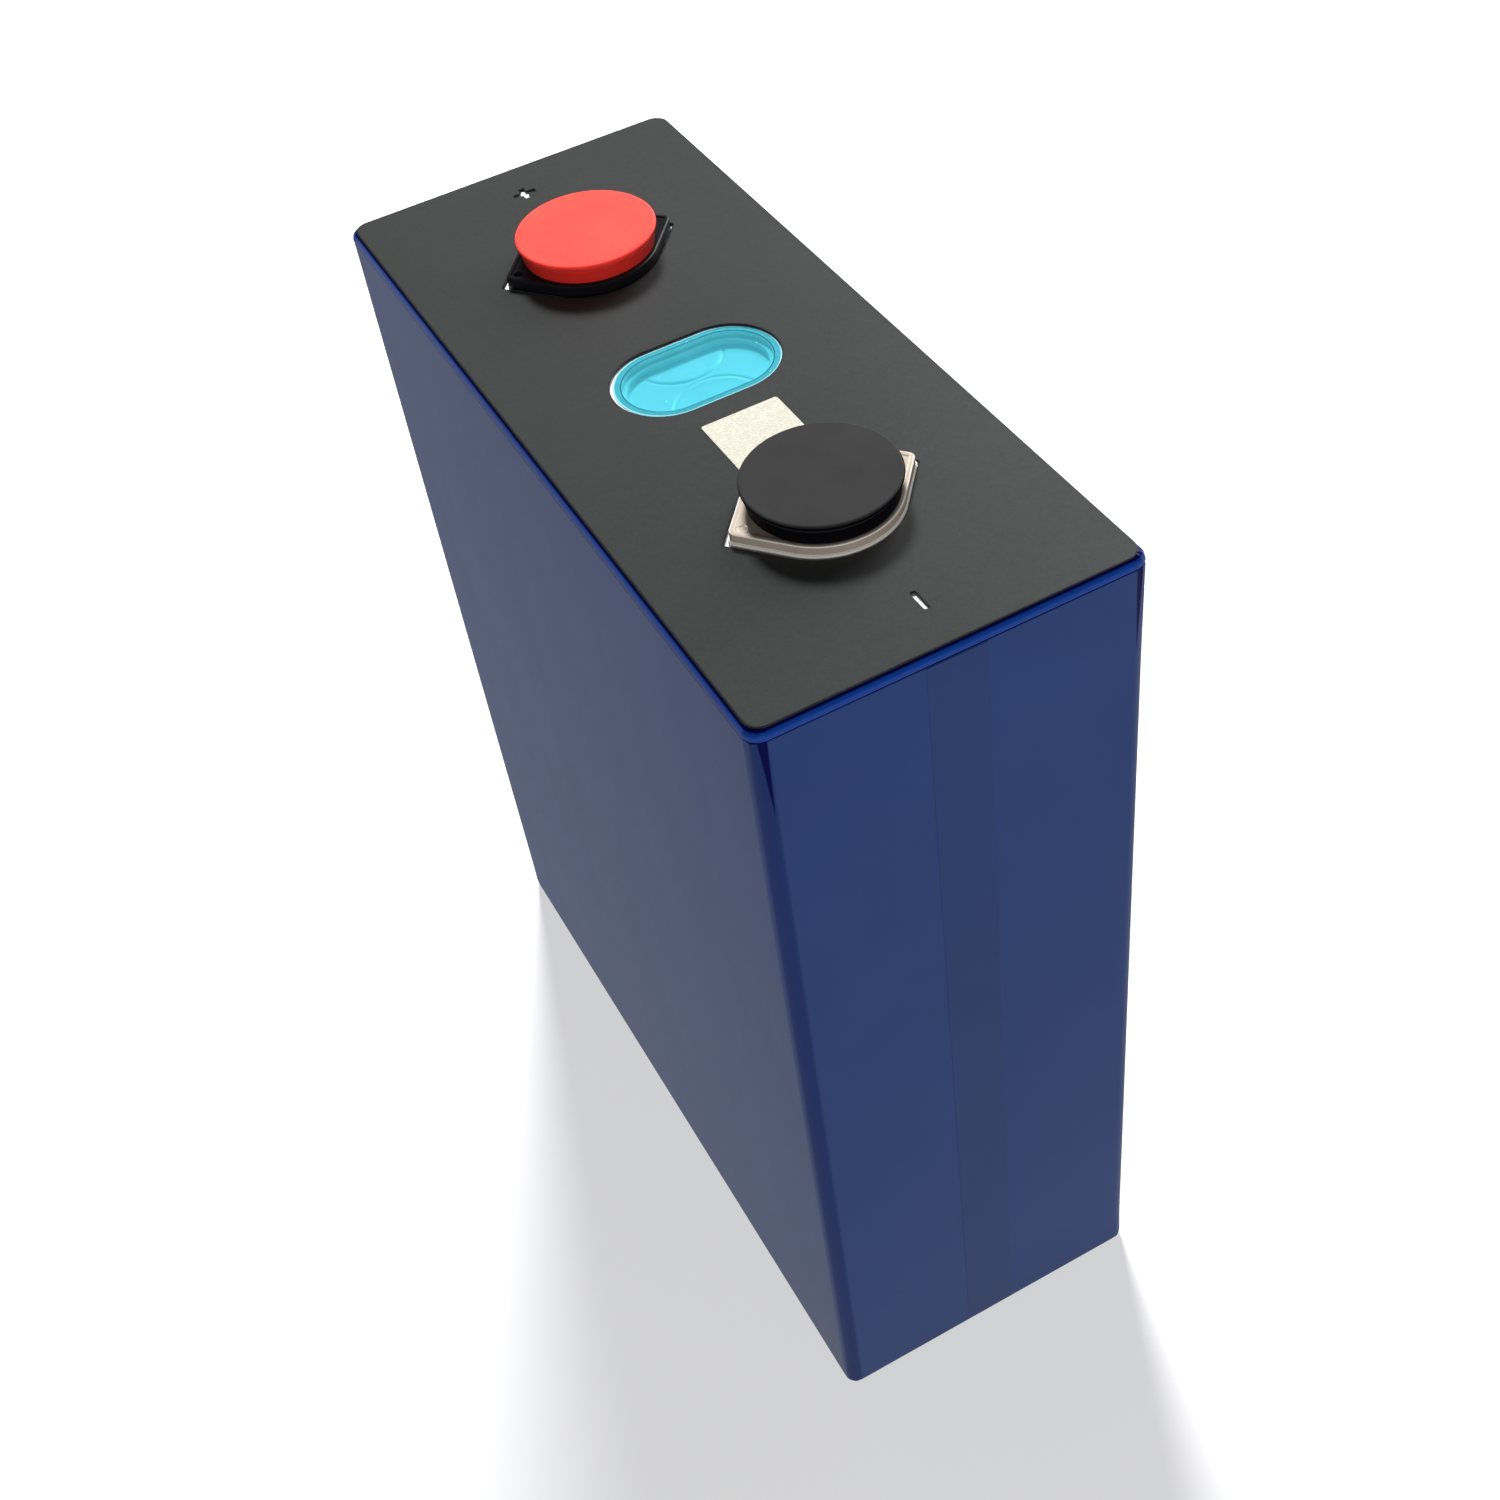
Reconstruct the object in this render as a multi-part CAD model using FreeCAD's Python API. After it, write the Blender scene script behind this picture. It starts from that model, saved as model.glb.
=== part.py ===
import FreeCAD, Part
import math
import os

# Prismatic lithium iron phosphate cell with two screw terminals under push-on caps.
#
# Frame, in millimetres: +Z up, origin at the centre of the underside. X runs along the cell's
# length, from the positive terminal (-X) to the negative one (+X). Y runs through the thickness,
# and the front large face looks along -Y.

# ---- driving dimensions -------------------------------------------------------------------
CELL_LENGTH = 173.7
CELL_THICKNESS = 71.7
SHEET_TOP_Z = 204.8  # upper face of the black sheet: the body height of the cell
TERMINAL_TOP_Z = 207.2  # seat of a busbar on the terminals
POLE_PITCH = 92.0  # between the two terminals

# ---- film, can and lid --------------------------------------------------------------------
FILM_T = 0.15
FILM_CORNER_R = 3.0  # upright edges of the wrapped cell
FILM_TOP_R = 1.6
FILM_BOTTOM_R = 1.5
FILM_FOLD_TOP = 5.0  # how far the film runs in over the lid
FILM_FOLD_BOTTOM = 14.0
SEAM_WIDTH = 11.0  # overlap of the film's two ends, on the +X end face
WALL_T = 0.8
FLOOR_T = 1.2
LID_T = 3.0
SHEET_T = 0.35
SHEET_INSET = 0.8
SHEET_CORNER_R = 3.0
BOTTOM_SHEET_T = 0.3
BOTTOM_SHEET_INSET = 2.5

FILM_TOP_Z = SHEET_TOP_Z - SHEET_T
LID_TOP_Z = FILM_TOP_Z - FILM_T
LID_BOTTOM_Z = LID_TOP_Z - LID_T
FILM_BOTTOM_Z = BOTTOM_SHEET_T
CAN_BOTTOM_Z = FILM_BOTTOM_Z + FILM_T
FLOOR_Z = CAN_BOTTOM_Z + FLOOR_T
CAN_LENGTH = CELL_LENGTH - 2 * FILM_T
CAN_THICKNESS = CELL_THICKNESS - 2 * FILM_T
CAVITY_LENGTH = CAN_LENGTH - 2 * WALL_T
CAVITY_THICKNESS = CAN_THICKNESS - 2 * WALL_T
CAVITY_R = FILM_CORNER_R - FILM_T - WALL_T

# ---- terminals ----------------------------------------------------------------------------
BASE_R = 13.7
BASE_APEX = 17.8  # where the two straight sides of a corner would meet, from the terminal's axis
BASE_CORNER_R = 1.5
BASE_TOP_Z = 206.8
BASE_EDGE_R = 0.35
BASE_FLOOR_T = 0.8
BASE_POCKET_R = 11.3
BASE_PIT_R = 0.9
BASE_PIT_Y = -15.2
BASE_PIT_DEPTH = 0.6
SHEET_GAP = 0.6  # bare lid that shows round a terminal base
PAD_R = 10.0
PAD_EDGE = 0.3
WELD_R = 7.0
WELD_DEPTH = 0.2
POLE_R = 6.0
POLE_FLANGE_R = 11.0
POLE_FLANGE_T = 1.5
TAP_R = 2.5  # tapping size of an M6 thread
TAP_DEPTH = 6.0
TAP_CHAMFER = 0.5
SEAL_R = 10.0
SEAL_T = 0.9
LID_HOLE_R = 7.0

PAD_BOTTOM_Z = LID_TOP_Z + BASE_FLOOR_T
FLANGE_TOP_Z = LID_BOTTOM_Z - SEAL_T
FLANGE_BOTTOM_Z = FLANGE_TOP_Z - POLE_FLANGE_T

# ---- caps ---------------------------------------------------------------------------------
CAP_DISC_R = 13.7
CAP_DISC_T = 1.45
CAP_DISC_EDGE_R = 0.5
CAP_HEIGHT = 4.1
CAP_REST_GAP = 0.05  # between the cap and the terminal base
CAP_BODY_TOP_R = 13.15
CAP_BODY_BOTTOM_R = 12.9
CAP_GRIP_R = 11.1
CAP_GRIP_REACH = 1.4  # how far the grip ring reaches below the cap's rim
CAP_PAD_GAP = 0.06
CAP_CEILING_GAP = 1.7  # air between the terminal pad and the cap's ceiling

CAP_BOTTOM_Z = BASE_TOP_Z + CAP_REST_GAP
CAP_TOP_Z = CAP_BOTTOM_Z + CAP_HEIGHT

# ---- vent ---------------------------------------------------------------------------------
# Half sizes along X and Y of each stadium outline; the long axis lies across the cell.
VENT_CUTOUT = (10.5, 16.3)
VENT_FILM = (9.9, 15.6)
VENT_RECESS = (8.7, 14.4)
VENT_SEAT = (7.8, 13.5)
VENT_OPENING = (7.0, 12.7)
VENT_RECESS_DEPTH = 0.9
VENT_DISC_T = 0.4
VENT_DISC_TOP_Z = LID_TOP_Z - 1.9
SCORE_R = 8.4
SCORE_OFFSET = 8.8  # from the vent's centre to each score arc's centre
SCORE_WIDTH = 0.5
SCORE_DEPTH = 0.15
SCORE_HALF_ANGLE = 56.0  # degrees either side of the arc's nearest point

# ---- filling hole, label and polarity marks -------------------------------------------------
FILL_X = 23.4
FILL_R = 1.5
FILL_SEAT_R = 4.0
FILL_SEAT_DEPTH = 0.8
FILL_CAP_T = 0.6
FILL_PASSAGE = 1.0  # how much wider the hole in the insulator is
LABEL_SIZE = 15.0
LABEL_CORNER_R = 0.4
LABEL_T = 0.1
MARK_OFFSET = 10.6  # from the sheet's end to the centre of a mark
MARK_LENGTH = 4.6
MARK_WIDTH = 1.0

# ---- windings and what joins them to the terminals -------------------------------------------
BAG_T = 0.2
TRAY_T = 1.0
TRAY_CLEARANCE = 0.5
ROLL_LENGTH = 170.0
ROLL_THICKNESS = 34.2
ROLL_SPACING = 34.6  # between the centres of the two windings
ROLL_SLOT = 0.8  # left by the winding mandrel
ROLL_LIFT = 0.15  # air between tray and windings
ROLL_BOTTOM_Z = FLOOR_Z + BAG_T + TRAY_T + ROLL_LIFT
ROLL_TOP_Z = 190.0
BAG_TOP_Z = 196.5
TAPE_T = 0.12
TAPE_WIDTH = 30.0
TAPE_Z = 96.0

INSULATOR_INNER_X = 15.0
INSULATOR_OUTER_X = 84.5
INSULATOR_HALF_Y = 33.5
INSULATOR_HOLE_R = 11.2
RAIL_WIDTH = 1.5
RAIL_BOTTOM_Z = ROLL_TOP_Z + 1.0
GUARD_HALF_X = 14.0
GUARD_POCKET_DEPTH = 1.2
GUARD_SLOT_WIDTH = 2.0
GUARD_SLOT_PITCH = 4.5
GUARD_SLOTS = 5
CONNECTOR_INNER_X = 20.0
CONNECTOR_OUTER_X = 80.0
CONNECTOR_HALF_Y = 22.0
CONNECTOR_T = 1.5
CONNECTOR_CORNER_R = 4.0
TAB_WIDTH = 45.0
TAB_T = 0.8
TAB_BEND_R = 0.7
TAB_GAP = 0.2  # between a tab's upright and the connector's edge
TAB_REACH_Y = 6.0
TAB_CENTRE_X = 50.0

CONNECTOR_TOP_Z = FLANGE_BOTTOM_Z
CONNECTOR_BOTTOM_Z = CONNECTOR_TOP_Z - CONNECTOR_T

POSITIVE = -1  # the terminal's side of the cell along X
NEGATIVE = 1
OVERRUN = 1.0  # how far cutting tools pass through what they cut
UP = FreeCAD.Vector(0, 0, 1)


def vec(x, y, z=0.0):
    return FreeCAD.Vector(x, y, z)


def pole_x(side):
    """X of a terminal's axis."""
    return side * POLE_PITCH / 2


def face_from(edges):
    return Part.Face(Part.Wire(Part.__sortEdges__(edges)))


def prism(face, z0, z1):
    """Extrude a face drawn at z = 0 between two heights."""
    solid = face.extrude(vec(0, 0, z1 - z0))
    solid.translate(vec(0, 0, z0))
    return solid


def box(x0, x1, y0, y1, z0, z1):
    return Part.makeBox(x1 - x0, y1 - y0, z1 - z0, vec(x0, y0, z0))


def rod(radius, z0, z1, x=0.0, y=0.0):
    return Part.makeCylinder(radius, z1 - z0, vec(x, y, z0))


def tube(outer, inner, z0, z1, x=0.0):
    return rod(outer, z0, z1, x).cut(rod(inner, z0 - OVERRUN, z1 + OVERRUN, x))


def is_upright(edge):
    """Whether an edge is a straight line along Z."""
    return isinstance(edge.Curve, Part.Line) and abs(edge.tangentAt(edge.FirstParameter).z) > 0.99


def lies_at(edge, z):
    """Whether an edge lies flat at a height."""
    return abs(edge.BoundBox.ZMin - z) < 1e-6 and abs(edge.BoundBox.ZMax - z) < 1e-6


def rounded_rectangle(length, width, radius):
    """Face of a rectangle centred on the origin, with round corners."""
    plate = Part.makeBox(length, width, 1.0, vec(-length / 2, -width / 2, -1.0))
    plate = plate.makeFillet(radius, [e for e in plate.Edges if is_upright(e)])
    return max(plate.Faces, key=lambda f: f.CenterOfMass.z)


def stadium(half_x, half_y):
    """Face with round ends; the longer half size gives the long axis."""
    radius = min(half_x, half_y)
    centre = vec(half_x - radius, half_y - radius)
    lengthwise = vec(radius, 0) if half_x > half_y else vec(0, radius)
    across = vec(0, radius) if half_x > half_y else vec(radius, 0)
    edges = []
    for sign in (1, -1):
        end = centre * sign
        edges.append(Part.Arc(end + across, end + lengthwise * sign, end - across).toShape())
        edges.append(Part.makeLine(centre + across * sign, across * sign - centre))
    return face_from(edges)


def rounded_block(length, width, z0, z1, corner_r, bottom_r, top_r):
    """Block with round upright edges, and with its top and bottom rims rounded."""
    block = prism(rounded_rectangle(length, width, corner_r), z0, z1)
    for z, radius in ((z0, bottom_r), (z1, top_r)):
        rim = [e for e in block.Edges if lies_at(e, z)]
        block = block.makeFillet(radius, rim)
    return block


def can_envelope():
    """Outside of the welded can and lid."""
    return rounded_block(
        CAN_LENGTH,
        CAN_THICKNESS,
        CAN_BOTTOM_Z,
        LID_TOP_Z,
        FILM_CORNER_R - FILM_T,
        FILM_BOTTOM_R - FILM_T,
        FILM_TOP_R - FILM_T,
    )


def cavity_prism(z0, z1):
    return prism(rounded_rectangle(CAVITY_LENGTH, CAVITY_THICKNESS, CAVITY_R), z0, z1)


def terminal_outline(grow):
    """Round outline with a corner on each side across the cell, grown outwards by a margin."""
    radius = BASE_R + grow
    apex = BASE_APEX * radius / BASE_R
    tangent = math.acos(radius / apex)
    touch_x = radius * math.sin(tangent)
    touch_y = radius * math.cos(tangent)
    edges = []
    for sign in (1, -1):
        corner = vec(0, sign * apex)
        edges.append(Part.makeLine(vec(-touch_x, sign * touch_y), corner))
        edges.append(Part.makeLine(corner, vec(touch_x, sign * touch_y)))
        lower = vec(sign * touch_x, -touch_y)
        upper = vec(sign * touch_x, touch_y)
        edges.append(Part.Arc(lower, vec(sign * radius, 0), upper).toShape())
    return face_from(edges)


def terminal_prism(side, z0, z1, grow=0.0):
    """Solid of the terminal outline with its two corners rounded."""
    solid = prism(terminal_outline(grow), z0, z1)
    corners = [e for e in solid.Edges if is_upright(e) and abs(e.CenterOfMass.y) > BASE_R]
    solid = solid.makeFillet(BASE_CORNER_R + grow, corners)
    solid.translate(vec(pole_x(side), 0))
    return solid


# ---- outer layers -------------------------------------------------------------------------
def make_film_wrap():
    """Film sleeve round the can, folded over both rims, with the overlap of its ends."""
    outer = rounded_block(
        CELL_LENGTH, CELL_THICKNESS, FILM_BOTTOM_Z, FILM_TOP_Z, FILM_CORNER_R, FILM_BOTTOM_R, FILM_TOP_R
    )
    film = outer.cut(can_envelope())
    film = film.cut(film_opening(FILM_FOLD_TOP, LID_TOP_Z - OVERRUN, FILM_TOP_Z + OVERRUN))
    film = film.cut(film_opening(FILM_FOLD_BOTTOM, FILM_BOTTOM_Z - OVERRUN, CAN_BOTTOM_Z + OVERRUN))
    seam = box(
        CELL_LENGTH / 2,
        CELL_LENGTH / 2 + FILM_T,
        -SEAM_WIDTH / 2,
        SEAM_WIDTH / 2,
        FILM_BOTTOM_Z + FILM_BOTTOM_R,
        FILM_TOP_Z - FILM_TOP_R,
    )
    return film.fuse(seam).removeSplitter()


def film_opening(fold, z0, z1):
    """What the folded film leaves open on the top or bottom."""
    outline = rounded_rectangle(CELL_LENGTH - 2 * fold, CELL_THICKNESS - 2 * fold, FILM_CORNER_R)
    return prism(outline, z0, z1)


def make_can():
    can = can_envelope()
    return can.cut(cavity_prism(FLOOR_Z, LID_TOP_Z + OVERRUN))


def make_lid_plate():
    """Lid welded into the can's mouth, with its terminal, vent and filling holes."""
    lid = can_envelope().common(cavity_prism(LID_BOTTOM_Z, LID_TOP_Z + OVERRUN))
    for side in (POSITIVE, NEGATIVE):
        lid = lid.cut(rod(LID_HOLE_R, LID_BOTTOM_Z - OVERRUN, LID_TOP_Z + OVERRUN, pole_x(side)))
    top = LID_TOP_Z + OVERRUN
    lid = lid.cut(prism(stadium(*VENT_RECESS), LID_TOP_Z - VENT_RECESS_DEPTH, top))
    lid = lid.cut(prism(stadium(*VENT_SEAT), VENT_DISC_TOP_Z - VENT_DISC_T, top))
    lid = lid.cut(prism(stadium(*VENT_OPENING), LID_BOTTOM_Z - OVERRUN, top))
    lid = lid.cut(rod(FILL_R, LID_BOTTOM_Z - OVERRUN, top, FILL_X))
    return lid.cut(rod(FILL_SEAT_R, LID_TOP_Z - FILL_SEAT_DEPTH, top, FILL_X))


def make_top_sheet():
    """Insulating sheet with its adhesive layer inside the film's fold, and all its cut-outs."""
    outline = rounded_rectangle(
        CELL_LENGTH - 2 * SHEET_INSET, CELL_THICKNESS - 2 * SHEET_INSET, SHEET_CORNER_R
    )
    sheet = prism(outline, FILM_TOP_Z, SHEET_TOP_Z)
    sheet = sheet.fuse(film_opening(FILM_FOLD_TOP, LID_TOP_Z, SHEET_TOP_Z)).removeSplitter()
    low = LID_TOP_Z - OVERRUN
    high = SHEET_TOP_Z + OVERRUN
    for side in (POSITIVE, NEGATIVE):
        sheet = sheet.cut(terminal_prism(side, low, high, SHEET_GAP))
        mark_x = side * (CELL_LENGTH / 2 - SHEET_INSET - MARK_OFFSET)
        sheet = sheet.cut(mark_bar(mark_x, MARK_LENGTH / 2, MARK_WIDTH / 2, low, high))
    plus_x = POSITIVE * (CELL_LENGTH / 2 - SHEET_INSET - MARK_OFFSET)
    sheet = sheet.cut(mark_bar(plus_x, MARK_WIDTH / 2, MARK_LENGTH / 2, low, high))
    return sheet.cut(prism(stadium(*VENT_CUTOUT), low, high))


def mark_bar(x, half_x, half_y, z0, z1):
    """One bar of a polarity mark."""
    bar = prism(stadium(half_x, half_y), z0, z1)
    bar.translate(vec(x, 0))
    return bar


def make_bottom_sheet():
    outline = rounded_rectangle(
        CELL_LENGTH - 2 * BOTTOM_SHEET_INSET, CELL_THICKNESS - 2 * BOTTOM_SHEET_INSET, FILM_CORNER_R
    )
    sheet = prism(outline, 0, BOTTOM_SHEET_T)
    return sheet.fuse(film_opening(FILM_FOLD_BOTTOM, 0, CAN_BOTTOM_Z)).removeSplitter()


def make_code_label():
    outline = rounded_rectangle(LABEL_SIZE, LABEL_SIZE, LABEL_CORNER_R)
    label = prism(outline, SHEET_TOP_Z, SHEET_TOP_Z + LABEL_T)
    label.translate(vec(FILL_X, 0))
    return label


# ---- vent and filling hole ------------------------------------------------------------------
def make_vent_film():
    return prism(stadium(*VENT_FILM), LID_TOP_Z, LID_TOP_Z + FILM_T)


def make_vent_disc():
    """Burst disc, weakened by two score arcs that meet back to back at its centre."""
    disc = prism(stadium(*VENT_SEAT), VENT_DISC_TOP_Z - VENT_DISC_T, VENT_DISC_TOP_Z)
    for side in (-1, 1):
        disc = disc.cut(score_groove(side))
    return disc


def score_groove(side):
    """Arc of groove centred on one side of the disc, opening away from the disc's centre."""
    outer = Part.makeCylinder(
        SCORE_R + SCORE_WIDTH / 2,
        SCORE_DEPTH + OVERRUN,
        vec(0, 0, VENT_DISC_TOP_Z - SCORE_DEPTH),
        UP,
        2 * SCORE_HALF_ANGLE,
    )
    inner = rod(SCORE_R - SCORE_WIDTH / 2, VENT_DISC_TOP_Z - SCORE_DEPTH, VENT_DISC_TOP_Z + OVERRUN)
    groove = outer.cut(inner)
    facing = 180.0 if side > 0 else 0.0
    groove.rotate(vec(0, 0), UP, facing - SCORE_HALF_ANGLE)
    groove.translate(vec(side * SCORE_OFFSET, 0))
    return groove


def make_vent_guard():
    """Slotted guard that keeps the windings away from the burst disc."""
    guard = insulator_plate(-GUARD_HALF_X, GUARD_HALF_X)
    pocket_z = LID_BOTTOM_Z - GUARD_POCKET_DEPTH
    guard = guard.cut(prism(stadium(*VENT_OPENING), pocket_z, LID_BOTTOM_Z + OVERRUN))
    outline = stadium(VENT_OPENING[0] - GUARD_SLOT_WIDTH / 2, GUARD_SLOT_WIDTH / 2)
    for index in range(GUARD_SLOTS):
        slot = prism(outline, FLANGE_BOTTOM_Z - OVERRUN, pocket_z + OVERRUN)
        slot.translate(vec(0, (index - (GUARD_SLOTS - 1) / 2) * GUARD_SLOT_PITCH))
        guard = guard.cut(slot)
    return guard


def make_fill_plug():
    return rod(FILL_R, LID_BOTTOM_Z, LID_TOP_Z - FILL_SEAT_DEPTH, FILL_X)


def make_fill_cap():
    seat_z = LID_TOP_Z - FILL_SEAT_DEPTH
    return rod(FILL_SEAT_R, seat_z, seat_z + FILL_CAP_T, FILL_X)


# ---- terminals ----------------------------------------------------------------------------
def make_base(side):
    """Moulded base between lid and pad; its pocket leaves room for the cap's grip ring."""
    base = terminal_prism(side, LID_TOP_Z, BASE_TOP_Z)
    base = base.makeFillet(BASE_EDGE_R, [e for e in base.Edges if lies_at(e, BASE_TOP_Z)])
    x = pole_x(side)
    base = base.cut(rod(BASE_POCKET_R, PAD_BOTTOM_Z, BASE_TOP_Z + OVERRUN, x))
    base = base.cut(rod(POLE_R, LID_TOP_Z - OVERRUN, BASE_TOP_Z, x))
    return base.cut(rod(BASE_PIT_R, BASE_TOP_Z - BASE_PIT_DEPTH, BASE_TOP_Z + OVERRUN, x, BASE_PIT_Y))


def make_pad(side):
    """Aluminium pad, with the shallow groove of the weld that joins it to the pole."""
    x = pole_x(side)
    pad = rod(PAD_R, PAD_BOTTOM_Z, TERMINAL_TOP_Z, x)
    pad = pad.makeChamfer(PAD_EDGE, [e for e in pad.Edges if lies_at(e, TERMINAL_TOP_Z)])
    pad = pad.cut(rod(POLE_R, PAD_BOTTOM_Z - OVERRUN, TERMINAL_TOP_Z + OVERRUN, x))
    return pad.cut(rod(WELD_R, TERMINAL_TOP_Z - WELD_DEPTH, TERMINAL_TOP_Z + OVERRUN, x))


def make_pole(side):
    """Rivet through the lid, with a tapped blind hole from the top."""
    x = pole_x(side)
    pole = rod(POLE_FLANGE_R, FLANGE_BOTTOM_Z, FLANGE_TOP_Z, x)
    pole = pole.fuse(rod(POLE_R, FLANGE_BOTTOM_Z, TERMINAL_TOP_Z, x)).removeSplitter()
    pole = pole.cut(rod(TAP_R, TERMINAL_TOP_Z - TAP_DEPTH, TERMINAL_TOP_Z + OVERRUN, x))
    mouth = Part.makeCone(TAP_R, TAP_R + TAP_CHAMFER, TAP_CHAMFER, vec(x, 0, TERMINAL_TOP_Z - TAP_CHAMFER))
    return pole.cut(mouth)


def make_seal(side):
    """Rubber seal: a washer under the lid and a collar that lines its hole."""
    x = pole_x(side)
    washer = tube(SEAL_R, POLE_R, FLANGE_TOP_Z, LID_BOTTOM_Z, x)
    collar = tube(LID_HOLE_R, POLE_R, FLANGE_TOP_Z, LID_TOP_Z, x)
    return washer.fuse(collar).removeSplitter()


def insulator_plate(x0, x1):
    """Flat insulator directly under the lid, as thick as the seal and the pole's flange."""
    return box(x0, x1, -INSULATOR_HALF_Y, INSULATOR_HALF_Y, FLANGE_BOTTOM_Z, LID_BOTTOM_Z)


def make_lower_insulator(side):
    """Plate under the lid with two rails that hold the windings down."""
    x0, x1 = sorted((side * INSULATOR_INNER_X, side * INSULATOR_OUTER_X))
    plate = insulator_plate(x0, x1)
    low = FLANGE_BOTTOM_Z - OVERRUN
    high = LID_BOTTOM_Z + OVERRUN
    plate = plate.cut(rod(INSULATOR_HOLE_R, low, high, pole_x(side)))
    for edge in (-1, 1):
        y0, y1 = sorted((edge * INSULATOR_HALF_Y, edge * (INSULATOR_HALF_Y - RAIL_WIDTH)))
        plate = plate.fuse(box(x0, x1, y0, y1, RAIL_BOTTOM_Z, FLANGE_BOTTOM_Z))
    plate = plate.removeSplitter()
    if side == NEGATIVE:
        plate = plate.cut(rod(FILL_R + FILL_PASSAGE, low, high, FILL_X))
    return plate


def make_connector(side):
    """Current collector between the tabs and the pole's flange."""
    length = CONNECTOR_OUTER_X - CONNECTOR_INNER_X
    outline = rounded_rectangle(length, 2 * CONNECTOR_HALF_Y, CONNECTOR_CORNER_R)
    plate = prism(outline, CONNECTOR_BOTTOM_Z, CONNECTOR_TOP_Z)
    plate.translate(vec(side * (CONNECTOR_INNER_X + CONNECTOR_OUTER_X) / 2, 0))
    return plate


def make_tabs(side):
    """Two foil stacks that rise from the windings and fold in under the connector."""
    x0 = side * TAB_CENTRE_X - TAB_WIDTH / 2
    x1 = side * TAB_CENTRE_X + TAB_WIDTH / 2
    stacks = []
    for edge in (-1, 1):
        inner = CONNECTOR_HALF_Y + TAB_GAP
        y0, y1 = sorted((edge * inner, edge * (inner + TAB_T)))
        upright = box(x0, x1, y0, y1, ROLL_TOP_Z, CONNECTOR_BOTTOM_Z)
        y0, y1 = sorted((edge * TAB_REACH_Y, edge * (inner + TAB_T)))
        flat = box(x0, x1, y0, y1, CONNECTOR_BOTTOM_Z - TAB_T, CONNECTOR_BOTTOM_Z)
        stack = upright.fuse(flat).removeSplitter()
        bend = [
            e
            for e in stack.Edges
            if e.BoundBox.XLength > TAB_WIDTH - 1e-6
            and abs(e.CenterOfMass.z - CONNECTOR_BOTTOM_Z) < 1e-6
            and abs(e.CenterOfMass.y) > inner
        ]
        stacks.append(stack.makeFillet(TAB_BEND_R, bend))
    return Part.makeCompound(stacks)


# ---- windings -----------------------------------------------------------------------------
def make_jelly_roll(edge):
    """Flat winding round an upright axis, with the slot that its mandrel leaves."""
    roll = prism(stadium(ROLL_LENGTH / 2, ROLL_THICKNESS / 2), ROLL_BOTTOM_Z, ROLL_TOP_Z)
    slot_half = (ROLL_LENGTH - ROLL_THICKNESS) / 2
    slot = prism(stadium(slot_half, ROLL_SLOT / 2), ROLL_BOTTOM_Z - OVERRUN, ROLL_TOP_Z + OVERRUN)
    roll = roll.cut(slot)
    roll.translate(vec(0, edge * ROLL_SPACING / 2))
    return roll


def make_binding_tape():
    """Tape loop round both windings."""
    thickness = ROLL_SPACING + ROLL_THICKNESS
    inner = rounded_rectangle(ROLL_LENGTH, thickness, ROLL_THICKNESS / 2)
    outer = rounded_rectangle(ROLL_LENGTH + 2 * TAPE_T, thickness + 2 * TAPE_T, ROLL_THICKNESS / 2 + TAPE_T)
    z0 = TAPE_Z - TAPE_WIDTH / 2
    z1 = TAPE_Z + TAPE_WIDTH / 2
    return prism(outer, z0, z1).cut(prism(inner, z0 - OVERRUN, z1 + OVERRUN))


def make_roll_bag():
    """Insulating bag between windings and can, open at the top."""
    inner = rounded_rectangle(CAVITY_LENGTH - 2 * BAG_T, CAVITY_THICKNESS - 2 * BAG_T, CAVITY_R - BAG_T)
    return cavity_prism(FLOOR_Z, BAG_TOP_Z).cut(prism(inner, FLOOR_Z + BAG_T, BAG_TOP_Z + OVERRUN))


def make_bottom_tray():
    margin = 2 * (BAG_T + TRAY_CLEARANCE)
    outline = rounded_rectangle(CAVITY_LENGTH - margin, CAVITY_THICKNESS - margin, CAVITY_R)
    return prism(outline, FLOOR_Z + BAG_T, FLOOR_Z + BAG_T + TRAY_T)


# ---- caps ---------------------------------------------------------------------------------
def make_cap(side):
    """Push-on cap: a round-edged disc on a slightly tapered body, with a ring that grips the pad."""
    x = pole_x(side)
    disc_z = CAP_TOP_Z - CAP_DISC_T
    disc = rod(CAP_DISC_R, disc_z, CAP_TOP_Z, x)
    disc = disc.makeFillet(CAP_DISC_EDGE_R, [e for e in disc.Edges if isinstance(e.Curve, Part.Circle)])
    body = Part.makeCone(CAP_BODY_BOTTOM_R, CAP_BODY_TOP_R, disc_z - CAP_BOTTOM_Z, vec(x, 0, CAP_BOTTOM_Z))
    grip_z = CAP_BOTTOM_Z - CAP_GRIP_REACH
    cap = disc.fuse([body, rod(CAP_GRIP_R, grip_z, disc_z, x)]).removeSplitter()
    hollow_z = TERMINAL_TOP_Z + CAP_CEILING_GAP
    return cap.cut(rod(PAD_R + CAP_PAD_GAP, grip_z - OVERRUN, hollow_z, x))


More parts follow.
